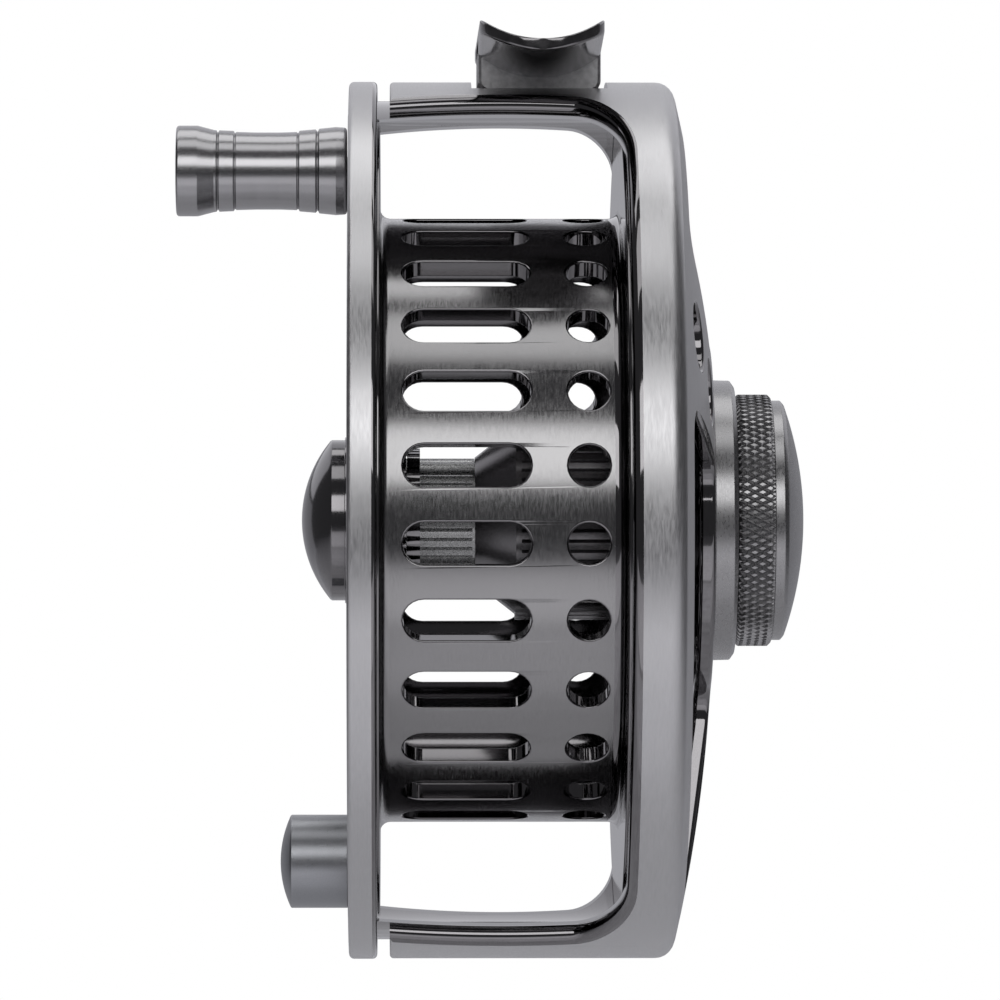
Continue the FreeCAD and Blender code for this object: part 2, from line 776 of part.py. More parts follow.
# ------------------------------------------------------------------ drive and drag

def make_spindle():
    """Fixed spindle with the keyed seat for the steel discs."""
    turned("spindle", [
        ("rim_left - 2.8", "0"),
        ("rim_left - 2.8", "spindle_radius - 0.6"),
        ("rim_left - 2.2", "spindle_radius"),
        ("10.2", "spindle_radius"),
        ("10.2", "disc_inner"),
        ("cup_floor", "disc_inner"),
        ("cup_floor", "spindle_radius"),
        ("cap_step_right + 0.2", "spindle_radius"),
        ("cap_step_right + 0.2", "0"),
    ])
    nut = new_body("spindle_nut")
    hexagon_nut(nut, "plate_hub_x", "1.7", "5")
    retainer = new_body("knob_retainer")
    hexagon_nut(retainer, "knob_right + 0.15", "0.95", "4.6")


def hexagon_nut(body, start, thick, radius):
    """Thin hexagon nut on the spindle, `radius` over its corners."""
    sketch = new_sketch(body, "section", "YZ_Plane", start)
    corners = []
    for step in range(6):
        corners.append(("%s * cos(%d)" % (radius, 60 * step), "%s * sin(%d)" % (radius, 60 * step)))
    outline(sketch, corners)
    circle(sketch, "0", "0", "spindle_radius")
    pushed(body, "Pad", sketch, thick, "nut")


def make_drive():
    """Parts that turn with the spool: sleeve, drum, clutch, bearings and discs."""
    sleeve = turned("drive_sleeve", [
        ("sleeve_left", "bearing_radius"),
        ("sleeve_left", "sleeve_radius - 0.4"),
        ("sleeve_left + 0.4", "sleeve_radius"),
        ("cone_left - 0.05", "sleeve_radius"),
        ("cone_left - 0.05", "tail_radius"),
        ("4.5", "tail_radius"),
        ("4.5", "bearing_radius"),
    ])
    ridges(sleeve, "sleeve_radius", "sleeve_left", "cone_left - 0.3", "ridge_count")
    ring("sleeve_collar", "collar_left", "collar_right", "sleeve_radius", "sleeve_radius + 1.1")
    drum = turned("drag_drum", [
        ("cone_left", "tail_radius + 0.15"),
        ("cone_left", "sleeve_radius + 0.1"),
        ("cone_right", "drum_radius - 0.6"),
        ("cone_right", "drum_radius"),
        ("drum_right", "drum_radius"),
        ("drum_right + 1", "drum_radius - 1"),
        ("drag_cup_left", "drum_radius - 1"),
        ("drag_cup_left", "drag_cup_radius"),
        ("drag_cup_right", "drag_cup_radius"),
        ("drag_cup_right", "disc_outer"),
        ("stack_left", "disc_outer"),
        ("stack_left", "bearing_radius"),
        ("drum_bush_right", "bearing_radius"),
        ("drum_bush_right", "drum_bush_radius"),
        ("drum_bush_left - 0.1", "drum_bush_radius"),
        ("drum_bush_left - 0.1", "tail_radius + 1"),
        ("clutch_right + 0.1", "clutch_radius"),
        ("clutch_left", "clutch_radius"),
        ("clutch_left", "tail_radius + 1.2"),
        ("-4.6", "tail_radius + 1.2"),
        ("-4.6", "tail_radius + 0.15"),
    ])
    ridges(drum, "drum_radius", "cone_right + 0.6", "drum_right - 0.6", "ridge_count * 1.5")
    ring("drum_seal", "-4.5", "-3.0", "tail_radius", "tail_radius + 1.2")
    ring("drum_bush", "drum_bush_left", "drum_bush_right", "spindle_radius + 0.02", "drum_bush_radius")
    make_clutch()
    make_bearings()
    make_discs()
    make_click_gear()


def ridges(body, radius, left, right, count):
    """Fine grooves along the axis, which leave ridges between them."""
    sketch = new_sketch(body, "ridge", "YZ_Plane", left)
    width = "ridge_depth * 0.9"
    outline(sketch, [
        ("-" + width, "%s + 0.2" % radius),
        (width, "%s + 0.2" % radius),
        ("0", "%s - ridge_depth" % radius),
    ])
    pocket = pushed(body, "Pocket", sketch, "(%s) - (%s)" % (right, left), "ridge_cut", backwards=True)
    round_pattern(body, pocket, count, "ridges")


def make_clutch():
    """One-way clutch between the sleeve and the drum: a drawn shell and its rollers."""
    roller = "(clutch_radius - clutch_wall - tail_radius) / 2"
    turned("clutch_shell", [
        ("clutch_left", "tail_radius + 0.2"),
        ("clutch_left", "clutch_radius"),
        ("clutch_right", "clutch_radius"),
        ("clutch_right", "tail_radius + 0.2"),
        ("clutch_right - 0.4", "tail_radius + 0.2"),
        ("clutch_right - 0.4", "clutch_radius - clutch_wall"),
        ("clutch_left + 0.4", "clutch_radius - clutch_wall"),
        ("clutch_left + 0.4", "tail_radius + 0.2"),
    ])
    body = new_body("clutch_rollers")
    sketch = new_sketch(body, "section", "YZ_Plane", "clutch_left + 0.5")
    circle(sketch, "0", "tail_radius + " + roller, roller)
    pad = pushed(body, "Pad", sketch, "5.2", "roller")
    round_pattern(body, pad, "12", "rollers")


def make_bearings():
    """Two ball bearings between the spindle and the sleeve."""
    inner_wall = "spindle_radius + 0.55"
    outer_wall = "bearing_radius - 0.55"
    left = "sleeve_left + 0.5"
    spacing = "19.5"
    body = ring("bearing_inner_races", left, "%s + bearing_width" % left, "spindle_radius", inner_wall)
    row_pattern(body, body.Tip, "2", spacing)
    body = ring("bearing_outer_races", left, "%s + bearing_width" % left, outer_wall, "bearing_radius")
    row_pattern(body, body.Tip, "2", spacing)
    body = new_body("bearing_balls")
    ball = "((bearing_radius - spindle_radius - 1.1) / 2 - 0.03)"
    middle = "%s + bearing_width / 2" % left
    pitch = "(bearing_radius + spindle_radius) / 2"
    sketch = new_sketch(body, "section", "XZ_Plane")
    outline(sketch, [
        ("%s - %s" % (middle, ball), pitch),
        ("%s + %s" % (middle, ball), pitch, ball),
    ])
    ball_feature = body.newObject("PartDesign::Revolution", "bearing_balls_turned")
    ball_feature.Profile = sketch
    ball_feature.ReferenceAxis = (sketch, ["Edge1"])
    DOC.recompute()
    both = body.newObject("PartDesign::MultiTransform", "bearing_balls_all")
    both.Originals = [ball_feature]
    round_step = body.newObject("PartDesign::PolarPattern", "bearing_balls_round")
    round_step.Axis = (origin_part(body, "X_Axis"), [""])
    round_step.Angle = 360
    round_step.Occurrences = 10
    along = body.newObject("PartDesign::LinearPattern", "bearing_balls_row")
    along.Direction = (origin_part(body, "X_Axis"), [""])
    along.Length = number(spacing)
    along.Occurrences = 2
    both.Transformations = [round_step, along]
    body.Tip = both
    DOC.recompute()


def make_discs():
    """Drag stack: carbon discs that turn with the drum, between fixed steel discs."""
    gap = 0.03
    body = ring("carbon_discs", "stack_left + %g" % gap, "stack_left + disc_thick - %g" % gap,
                "disc_inner + 0.6", "disc_outer")
    row_pattern(body, body.Tip, "disc_count", "disc_thick * 2")
    body = ring("steel_discs", "stack_left + disc_thick", "stack_left + disc_thick * 2",
                "disc_inner", "disc_outer - 0.4")
    row_pattern(body, body.Tip, "disc_count", "disc_thick * 2")


def make_click_gear():
    """Toothed ring on the drum that the click pawl rides on."""
    body = ring("click_gear", "drag_cup_left", "gear_right", "drag_cup_radius", "gear_radius")
    sketch = new_sketch(body, "gap", "YZ_Plane", "9")
    outline(sketch, [
        ("-0.95", "gear_radius + 0.3"),
        ("0.95", "gear_radius + 0.3"),
        ("0.15", "gear_radius - 1.1"),
        ("-0.15", "gear_radius - 1.1"),
    ])
    pocket = pushed(body, "Pocket", sketch, "3", "gap_cut", backwards=True)
    round_pattern(body, pocket, "gear_teeth", "teeth")


def make_clicker():
    """Click pawl on its pin, with its hairpin spring, on the lower arm."""
    body = new_body("click_pawl", height="-pawl_axis")
    sketch = new_sketch(body, "plan", "YZ_Plane", "drag_cup_left + 0.1")
    tip = "pawl_axis - gear_radius - 0.1"
    outline(sketch, [
        ("-2.3", "0"),
        ("-0.4", tip),
        ("0.4", tip),
        ("2.3", "0"),
        ("0.9", "-3.4"),
        ("-0.9", "-3.4"),
    ])
    circle(sketch, "0", "0", "pin_radius + 0.03")
    pushed(body, "Pad", sketch, "pawl_thick", "plate")
    turned("pawl_pin", [
        ("drag_cup_left - 0.5", "0"),
        ("drag_cup_left - 0.5", "pin_radius + 0.6"),
        ("drag_cup_left", "pin_radius + 0.6"),
        ("drag_cup_left", "pin_radius"),
        ("cup_floor", "pin_radius"),
        ("cup_floor", "0"),
    ], height="-pawl_axis")
    body = new_body("pawl_spring", height="-pawl_axis")
    sketch = new_sketch(body, "wire")
    circle(sketch, "11.4", "1.3", "0.25")
    coil = swept(body, "Revolution", sketch, "coil")
    row_pattern(body, coil, "3", "0.45")


def make_knob():
    """Drag knob at the back, with the nut, spring and pins that load the discs."""
    turned("back_ring", [
        ("plate_hub_x", "9.2"),
        ("plate_hub_x", "back_ring_radius"),
        ("back_ring_right - 0.9", "back_ring_radius - 0.25"),
        ("back_ring_right", "back_ring_radius - 1.1", "1.2"),
        ("back_ring_right", "9.2"),
    ])
    turned("drag_knob", [
        ("knob_left", "10.2"),
        ("knob_left", "knob_radius - 0.3"),
        ("knob_left + 0.3", "knob_radius"),
        ("knob_right - 0.3", "knob_radius"),
        ("knob_right", "knob_radius - 0.3"),
        ("knob_right", "spindle_radius + 0.03"),
        ("knob_right - 0.7", "spindle_radius + 0.03"),
        ("knob_right - 0.7", "10.2"),
    ])
    turned("knob_cap", [
        ("knob_right", "11.4"),
        ("knob_right", "cap_step_radius"),
        ("cap_step_right", "cap_step_radius"),
        ("cap_step_right + 0.25", "cap_step_radius - 0.5", "0.7"),
        ("cap_apex", "0", cap_radius("cap_apex - cap_step_right - 0.25", "cap_step_radius - 0.5")),
        ("cap_apex - 1.1", "0"),
        ("cap_step_right", "10.6"),
        ("knob_right + 0.2", "11.4"),
    ])
    ring("knob_insert", "knob_left + 0.2", "knob_right - 0.7", "8.9", "10.2")
    ring("drag_nut", "nut_left", "nut_right", "spindle_radius + 0.1", "nut_radius")
    ring("drag_spring", "spring_left", "nut_left", "nut_radius - 2.5", "nut_radius - 0.2")
    ring("thrust_washer", "washer_left", "spring_left", "nut_radius - 2.9", "nut_radius + 0.1")
    ring("pressure_plate", "plate_left", "plate_right", "disc_inner + 0.05", "disc_outer - 0.4")
    body = new_body("thrust_pins")
    sketch = new_sketch(body, "section", "YZ_Plane", "plate_right")
    circle(sketch, "0", "thrust_pin_circle", "pin_radius")
    pad = pushed(body, "Pad", sketch, "washer_left - plate_right", "pin")
    round_pattern(body, pad, "3", "pins")


# ------------------------------------------------------------------ run

def check_and_write():
    """Refuse any failed object or broken solid, then write every piece."""
    failed = [thing.Name for thing in DOC.Objects if {"Invalid", "Error"} & set(thing.State)]
    broken = [piece.Label for piece in PIECES if piece.Shape.isNull() or not piece.Shape.isValid()]
    if failed or broken:
        raise ValueError("failed: %s broken: %s" % (failed, broken))
    os.makedirs("parts", exist_ok=True)
    for piece in PIECES:
        piece.Shape.exportStep("parts/%s.step" % piece.Label)
        box = piece.Shape.BoundBox
        print("%-22s %8.1f mm3 %2d solids  x %.2f..%.2f" % (
            piece.Label, piece.Shape.Volume, len(piece.Shape.Solids), box.XMin, box.XMax))


def main():
    """Build the whole reel."""
    fill_sheet()
    make_frame()
    make_foot()
    make_foot_screws()
    make_spool()
    make_spool_fittings()
    make_handle()
    make_spool_cap()
    make_spindle()
    make_drive()
    make_clicker()
    make_knob()
    DOC.recompute()
    check_and_write()


main()
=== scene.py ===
"""Fly reel: detailed pieces, finishes and studio, built round the reel's solid parts.

Lengths in the builders are millimetres, in the reel's own frame: the origin is the foot's
saddle, +X runs along the spindle to the drag knob and +Z up into the rod.
"""
import math

import bmesh
import bpy
import numpy as np
from bpy.props import FloatProperty, FloatVectorProperty, IntProperty, PointerProperty
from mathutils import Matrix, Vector
from mathutils.bvhtree import BVHTree
from mathutils.interpolate import poly_3d_calc


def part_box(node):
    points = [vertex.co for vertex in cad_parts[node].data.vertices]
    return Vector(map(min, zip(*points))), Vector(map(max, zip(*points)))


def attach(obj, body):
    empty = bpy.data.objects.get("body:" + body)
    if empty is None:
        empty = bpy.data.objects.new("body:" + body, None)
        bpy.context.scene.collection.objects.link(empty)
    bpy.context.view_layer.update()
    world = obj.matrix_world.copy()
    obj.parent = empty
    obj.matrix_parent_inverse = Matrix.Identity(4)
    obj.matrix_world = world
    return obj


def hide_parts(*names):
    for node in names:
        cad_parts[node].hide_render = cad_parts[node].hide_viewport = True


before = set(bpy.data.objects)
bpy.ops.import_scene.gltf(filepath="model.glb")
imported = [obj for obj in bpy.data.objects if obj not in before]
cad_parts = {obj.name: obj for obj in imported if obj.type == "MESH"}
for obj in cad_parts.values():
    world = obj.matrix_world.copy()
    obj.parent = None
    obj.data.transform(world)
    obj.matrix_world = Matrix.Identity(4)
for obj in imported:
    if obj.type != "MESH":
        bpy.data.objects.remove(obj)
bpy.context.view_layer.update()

bl_info = {
    "name": "Fly Reel",
    "version": (1, 0, 0),
    "blender": (4, 5, 0),
    "location": "3D View > Sidebar > Fly Reel",
    "description": "Builds the fly reel's detailed pieces, finishes and studio",
    "category": "Add Mesh",
}

MM = 0.001
SPINDLE_DROP = 50.3
SMOOTH_LIMIT = math.cos(math.radians(33))
BOX = {name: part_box(name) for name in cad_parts}

# Sizes in millimetres that more than one piece shares, and the smaller details.
WEB_INSET = 1.4          # spool's web, in from the rim's outer face
WEB_THICK = 2.0
BOSS_STAND = 0.15        # bosses under the handle and counterweight, out from the rim
BOSS_RADIUS = 6.2
BOSS_DEPTH = 1.75
BOSS_FACE = -20.6        # where the handle, counterweight and cap meet the spool
LIP_OUTER, LIP_INNER, LIP_DEPTH = 45.9, 43.2, 1.6    # groove in the rim for the frame's lip
SHOULDER = 42.9
FLANGE_RADIUS, FLANGE_THICK = 43.4, 1.2
HUB_RADIUS = 8.5
PLATE = 1.8              # thickness of the frame's domed back
PLATE_EDGE = 46.7        # radius where the dome meets the outer rounding
PLATE_EDGE_X, HUB_FACE, HUB_EDGE = 14.4, 18.7, 16.0
DOME_BOW = 170.0
BAR_LEFT, LIP_LEFT, LIP_STEP = -16.05, -18.7, 45.4
ARM_HOLE = 7.0
ARM_HOLE_EDGE = 0.35
ARM_HOLE_PLACES = (27.0, 38.2)
KNOB_LEFT, KNOB_RIGHT = 21.3, 25.2


# ------------------------------------------------------------------ settings

def length(name, description, default):
    """A size in metres, given in millimetres."""
    return FloatProperty(name=name, description=description, default=default * MM,
                         unit="LENGTH", subtype="DISTANCE", precision=5)


def colour(name, description, default):
    """A metal's colour."""
    return FloatVectorProperty(name=name, description=description, default=default,
                               subtype="COLOR", size=3, min=0.0, max=1.0)


def share(name, description, default):
    """A number from 0 to 1."""
    return FloatProperty(name=name, description=description, default=default,
                         min=0.0, max=1.0, subtype="FACTOR")


class ReelSpoolSettings(bpy.types.PropertyGroup):
    """Sizes of the spool."""

    rim_radius: length("Rim radius", "Outside radius of the palming rim", 47.5)
    rim_left: length("Rim's handle side", "X of the rim's outer face", BOX["spool"][0].x / MM + 0.15)
    rim_right: length("Rim's frame side", "X of the rim's inner face", -17.4)
    arbor_radius: length("Arbor radius", "Outside radius of the slotted arbor", 32.7)
    arbor_wall: length("Arbor wall", "Thickness of the arbor's wall", 2.0)
    line_left: length("Line space left", "X of the handle-side flange's inner face", -17.1)
    line_right: length("Line space right", "X of the frame-side flange's inner face", 8.6)
    slot_count: IntProperty(name="Slots", description="Slots round the arbor", default=25, min=3)
    slot_width: length("Slot width", "Width of the long slots", 4.5)
    slot_phase: FloatProperty(name="Slot phase", description="Turn of the first slot",
                              default=math.radians(184.3), subtype="ANGLE")
    slot_edge: length("Slot edge", "Width of the polished edge round each slot", 0.2)


class ReelFrameSettings(bpy.types.PropertyGroup):
    """Sizes of the frame and foot."""

    outer_radius: length("Outer radius", "Outside radius of the bars and ring", 47.45)
    inner_radius: length("Inner radius", "Inside radius of the bars and ring", 43.9)
    fillet: length("Opening fillet", "Rounding along the edges of the side openings", 1.1)
    window_edge: length("Window edge", "Rounding along the edges of the back windows", 0.5)
    foot_width: length("Foot width", "Width of the rod foot", 13.15)
    saddle_radius: length("Saddle radius", "Radius of the foot's saddle", 10.0)
    tip_thickness: length("Tip thickness", "Thickness of the foot's blade at its tips", 1.15)


class ReelFittingSettings(bpy.types.PropertyGroup):
    """Sizes of the handle, counterweight, spool cap and drag knob."""

    handle_offset: length("Handle offset", "Height of the handle above the spindle", 37.9)
    weight_offset: length("Counterweight offset", "Depth of the counterweight below the spindle", 37.0)
    weight_radius: length("Counterweight radius", "Outside radius of the counterweight", 5.05)
    cap_radius: length("Spool cap radius", "Outside radius of the spool cap", 8.7)
    knob_radius: length("Knob radius", "Radius over the knurling's points", 13.65)
    knurl_count: IntProperty(name="Knurls", description="Knurl points round the knob",
                             default=99, min=12)
    knurl_depth: length("Knurl depth", "Depth of the knurling", 0.3)


class ReelFinishSettings(bpy.types.PropertyGroup):
    """Colours of the finishes."""

    satin: colour("Satin", "Satin grey anodised aluminium", (0.42, 0.417, 0.425))
    polished: colour("Polished", "Dark polished edges and fillets", (0.17, 0.165, 0.17))
    turned: colour("Turned", "Turned and brushed arbor", (0.235, 0.232, 0.235))
    bright: colour("Bright", "Bright turned handle", (0.29, 0.287, 0.295))
    bluish: colour("Bluish", "Bluish satin counterweight", (0.26, 0.265, 0.28))
    knob: colour("Knob", "Darker anodised drag knob", (0.27, 0.267, 0.272))
    steel: colour("Steel", "Stainless steel", (0.42, 0.42, 0.42))
    bronze: colour("Bronze", "Machined bronze", (0.5, 0.34, 0.16))
    satin_roughness: share("Satin roughness", "Roughness of the satin finish", 0.36)
    polished_roughness: share("Polished roughness", "Roughness of the polished finish", 0.06)


class ReelStageSettings(bpy.types.PropertyGroup):
    """Studio round the reel."""

    floor_drop: FloatProperty(name="Floor drop", description="Depth of the floor below the rod",
                              default=0.4, unit="LENGTH", subtype="DISTANCE")
    camera_distance: FloatProperty(name="Camera distance", description="Camera to spindle",
                                   default=0.79, unit="LENGTH", subtype="DISTANCE")
    lens: FloatProperty(name="Lens", description="Focal length in millimetres", default=262.0)
    pale: colour("Pale", "Floor and background", (1.0, 1.0, 1.0))


# ------------------------------------------------------------------ profiles

def swing(first, last, turn, share_of):
    """The vector part of the way from first to last, which are `turn` apart."""
    near = first * math.sin((1 - share_of) * turn)
    return (near + last * math.sin(share_of * turn)) / math.sin(turn)


def angle_between(first, last, size=1.0):
    """Angle between two vectors whose lengths multiply to `size`."""
    return math.acos(max(-1.0, min(1.0, float(first @ last) / size)))


def soften(corners, steps=5):
    """Round each corner (x, r, rounding, finish) of a half section. Returns (x, r, finish) points."""
    points = []
    for index, corner in enumerate(corners):
        here = np.array(corner[:2], float)
        rounding = corner[2] if len(corner) > 2 else 0.0
        finish = corner[3] if len(corner) > 3 else 0
        back = np.array(corners[index - 1][:2], float) - here
        ahead = np.array(corners[(index + 1) % len(corners)][:2], float) - here
        reach_back = np.linalg.norm(back)
        reach_ahead = np.linalg.norm(ahead)
        if rounding <= 0 or min(reach_back, reach_ahead) < 1e-9:
            points.append((here[0], here[1], finish))
            continue
        back /= reach_back
        ahead /= reach_ahead
        opening = angle_between(back, ahead)
        run = min(rounding / math.tan(opening / 2), 0.49 * reach_back, 0.49 * reach_ahead)
        radius = run * math.tan(opening / 2)
        middle = here + (back + ahead) / np.linalg.norm(back + ahead) * radius / math.sin(opening / 2)
        first = here + back * run - middle
        last = here + ahead * run - middle
        turn = angle_between(first, last, radius * radius)
        for step in range(steps + 1):
            spot = middle + swing(first, last, turn, step / steps)
            points.append((spot[0], spot[1], finish))
    return points


def bowed(start, end, radius, finish=0, steps=16):
    """Corners along an arc from start to end; a positive radius bows to the left of travel."""
    start = np.array(start, float)
    end = np.array(end, float)
    chord = end - start
    half = np.linalg.norm(chord) / 2
    left = np.array((-chord[1], chord[0])) / (2 * half)
    middle = (start + end) / 2 - left * math.copysign(math.sqrt(radius * radius - half * half), radius)
    first = start - middle
    last = end - middle
    turn = angle_between(first, last, radius * radius)
    corners = []
    for step in range(steps + 1):
        spot = middle + swing(first, last, turn, step / steps)
        corners.append((spot[0], spot[1], 0, finish))
    return corners


def dome_radius(rise, half_width):
    """Radius of a dome that rises `rise` over a base `half_width` wide each side."""
    return (half_width ** 2 + rise ** 2) / (2 * rise)


def section_normals(points):
    """Normal at the start and end of each edge of a closed half section."""
    spots = np.array([point[:2] for point in points], float)
    runs = np.roll(spots, -1, axis=0) - spots
    sizes = np.linalg.norm(runs, axis=1)
    sizes[sizes < 1e-9] = 1e-9
    normals = np.stack((-runs[:, 1], runs[:, 0]), axis=1) / sizes[:, None]
    starts = normals.copy()
    ends = normals.copy()
    for index in range(len(points)):
        before = index - 1
        if normals[before] @ normals[index] < SMOOTH_LIMIT:
            continue
        both = normals[before] * sizes[before] ** 2 + normals[index] * sizes[index] ** 2
        both /= np.linalg.norm(both)
        ends[before] = both
        starts[index] = both
    return starts, ends


# ------------------------------------------------------------------ meshes

def lay_mesh(name, verts, faces, normals, finishes, materials):
    """A mesh object from millimetre points; normals are one for each face corner."""
    mesh = bpy.data.meshes.new(name)
    mesh.from_pydata([tuple(np.array(v) * MM) for v in verts], [], faces)
    for material in materials:
        mesh.materials.append(material)
    mesh.polygons.foreach_set("material_index", finishes)
    mesh.polygons.foreach_set("use_smooth", [True] * len(faces))
    mesh.update()
    if normals is not None:
        mesh.normals_split_custom_set([tuple(n) for n in normals])
    piece = bpy.data.objects.new(name, mesh)
    bpy.context.scene.collection.objects.link(piece)
    return piece


def lathe(name, corners, materials, height=0.0, steps=256, rounding_steps=5):
    """A piece turned about the spindle, or about a line `height` above it."""
    points = soften(corners, rounding_steps)
    starts, ends = section_normals(points)
    rise = height - SPINDLE_DROP
    turns = np.linspace(0, 2 * math.pi, steps, endpoint=False)
    cosines = np.cos(turns)
    sines = np.sin(turns)
    verts = []
    rows = []
    for x, r, _ in points:
        first = len(verts)
        if r < 1e-6:
            verts.append((x, 0.0, rise))
            rows.append([first] * steps)
            continue
        verts.extend(zip([x] * steps, r * cosines, r * sines + rise))
        rows.append(list(range(first, first + steps)))
    faces = []
    normals = []
    finishes = []
    for index, point in enumerate(points):
        row = rows[index]
        after = rows[(index + 1) % len(points)]
        if row[0] == row[1] and after[0] == after[1]:
            continue
        for step in range(steps):
            following = (step + 1) % steps
            ring = ((row, step, starts), (row, following, starts),
                    (after, following, ends), (after, step, ends))
            face = []
            for line, place, side in ring:
                if line[place] in face:
                    continue
                face.append(line[place])
                nx, nr = side[index]
                normals.append((nx, nr * cosines[place], nr * sines[place]))
            faces.append(face)
            finishes.append(point[2])
    return lay_mesh(name, verts, faces, normals, finishes, materials)


def area_normals(mesh):
    """Corner normals in which the larger faces of each smooth patch lead."""
    faces = mesh.polygons
    meeting = [[] for _ in mesh.vertices]
    for face in faces:
        for vertex in face.vertices:
            meeting[vertex].append(face.index)
    flat = [face.normal.copy() for face in faces]
    weights = [face.area ** 2 for face in faces]
    normals = []
    for face in faces:
        own = flat[face.index]
        for vertex in face.vertices:
            total = Vector()
            for other in meeting[vertex]:
                if own.dot(flat[other]) > SMOOTH_LIMIT:
                    total += flat[other] * weights[other]
            normals.append(total.normalized() if total.length > 0 else own)
    return normals


def skin(name, loops, materials, finish=0, caps=True):
    """A closed skin over successive loops of equal length."""
    count = len(loops[0])
    verts = [point for loop in loops for point in loop]
    faces = []
    for row in range(len(loops) - 1):
        for step in range(count):
            following = (step + 1) % count
            base = row * count
            faces.append((base + step, base + following, base + count + following, base + count + step))
    if caps:
        faces.append(tuple(range(count - 1, -1, -1)))
        faces.append(tuple(range(len(verts) - count, len(verts))))
    piece = lay_mesh(name, verts, faces, None, [finish] * len(faces), materials)
    work = bmesh.new()
    work.from_mesh(piece.data)
    bmesh.ops.recalc_face_normals(work, faces=work.faces)
    work.to_mesh(piece.data)
    work.free()
    piece.data.normals_split_custom_set([tuple(n) for n in area_normals(piece.data)])
    return piece


def merged(name, pieces):
    """One object from several, with the first one's materials."""
    verts = []
    faces = []
    normals = []
    finishes = []
    for piece in pieces:
        first = len(verts)
        verts.extend(np.array(v.co) / MM for v in piece.data.vertices)
        corners = [c.vector.copy() for c in piece.data.corner_normals]
        for face in piece.data.polygons:
            faces.append([first + v for v in face.vertices])
            finishes.append(face.material_index)
            normals.extend(corners[i] for i in face.loop_indices)
    whole = lay_mesh(name, verts, faces, normals, finishes, list(pieces[0].data.materials))
    for piece in pieces:
        bpy.data.objects.remove(piece)
    return whole


def carve(piece, tool):
    """Cut the tool from the piece. Each surface keeps the smooth normals that it had."""
    spots = []
    skins = []
    corner_sets = []
    for source, sign in ((piece.data, 1), (tool.data, -1)):
        first = len(spots)
        spots.extend(v.co.copy() for v in source.vertices)
        corners = [c.vector.copy() * sign for c in source.corner_normals]
        for face in source.polygons:
            skins.append([first + v for v in face.vertices])
            corner_sets.append([corners[i] for i in face.loop_indices])
    tree = BVHTree.FromPolygons(spots, skins, epsilon=0.0)
    cut = piece.modifiers.new("cut", "BOOLEAN")
    cut.operation = "DIFFERENCE"
    cut.solver = "EXACT"
    cut.object = tool
    bpy.context.view_layer.update()
    mesh = bpy.data.meshes.new_from_object(piece.evaluated_get(bpy.context.evaluated_depsgraph_get()))
    if not mesh.polygons or len(mesh.polygons) == len(piece.data.polygons):
        raise RuntimeError("cutting %s changed nothing" % piece.name)
    normals = [None] * len(mesh.loops)
    for face in mesh.polygons:
        centre = face.center
        for corner in face.loop_indices:
            spot = mesh.vertices[mesh.loops[corner].vertex_index].co
            _, _, index, _ = tree.find_nearest(spot.lerp(centre, 0.03))
            outline = [spots[i] for i in skins[index]]
            shares = poly_3d_calc(outline, spot)
            normal = Vector()
            for portion, direction in zip(shares, corner_sets[index]):
                normal += direction * portion
            if normal.length < 1e-6 or normal.dot(face.normal) < 0.2:
                normal = face.normal.copy()
            normals[corner] = normal.normalized()
    piece.modifiers.clear()
    piece.data = mesh
    mesh.polygons.foreach_set("use_smooth", [True] * len(mesh.polygons))
    mesh.normals_split_custom_set([tuple(n) for n in normals])
    bpy.data.objects.remove(tool)
    return piece


def grown(loop, margin):
    """A flat loop with each point moved out by `margin`. The loop runs anticlockwise."""
    spots = np.array(loop, float)
    if margin == 0:
        return spots
    ahead = np.roll(spots, -1, axis=0) - spots
    back = spots - np.roll(spots, 1, axis=0)
    ahead /= np.linalg.norm(ahead, axis=1)[:, None]
    back /= np.linalg.norm(back, axis=1)[:, None]
    along = ahead + back
    along /= np.linalg.norm(along, axis=1)[:, None]
    return spots + np.stack((along[:, 1], -along[:, 0]), axis=1) * margin


def stadium(left, right, width, steps=12):
    """Round-ended slot, anticlockwise. A circle if it is as long as it is wide."""
    radius = width / 2
    loop = []
    for middle, start in ((right - radius, -90), (left + radius, 90)):
        for step in range(steps + 1):
            turn = math.radians(start + 180 * step / steps)
            loop.append((middle + radius * math.cos(turn), radius * math.sin(turn)))
    if right - left - width < 1e-6:
        loop = [spot for index, spot in enumerate(loop) if index % (steps + 1) != steps]
    return loop


def sector(inner, outer, half, middle, rounding):
    """Rounded window between two radii, anticlockwise, as (y, z) points."""
    corners = []
    for step in range(25):
        turn = math.radians(middle + half - 2 * half * step / 24)
        corners.append((inner * math.cos(turn), inner * math.sin(turn), rounding if step in (0, 24) else 0))
    for step in range(37):
        turn = math.radians(middle - half + 2 * half * step / 36)
        corners.append((outer * math.cos(turn), outer * math.sin(turn), rounding if step in (0, 36) else 0))
    return soften_plan(corners)


def soften_plan(corners, steps=8):
    """Round marked corners of a loop whose neighbours may be short edges."""
    spots = [np.array(c[:2]) for c in corners]
    keep = []
    for index, corner in enumerate(corners):
        if corner[2] <= 0:
            keep.append((spots[index], False))
            continue
        rounding = corner[2]
        before = walk(spots, index, -1, rounding)
        after = walk(spots, index, 1, rounding)
        for step in range(steps + 1):
            t = step / steps
            spot = (1 - t) ** 2 * before + 2 * t * (1 - t) * spots[index] + t * t * after
            keep.append((spot, True))
    loop = []
    for index, (spot, rounded_corner) in enumerate(keep):
        if not rounded_corner and near_marked(spot, corners):
            continue
        loop.append(tuple(spot))
    return loop


def near_marked(spot, corners):
    """True within the rounding of a marked corner."""
    for corner in corners:
        if corner[2] > 0 and math.dist(spot, corner[:2]) < corner[2] * 1.02:
            return True
    return False


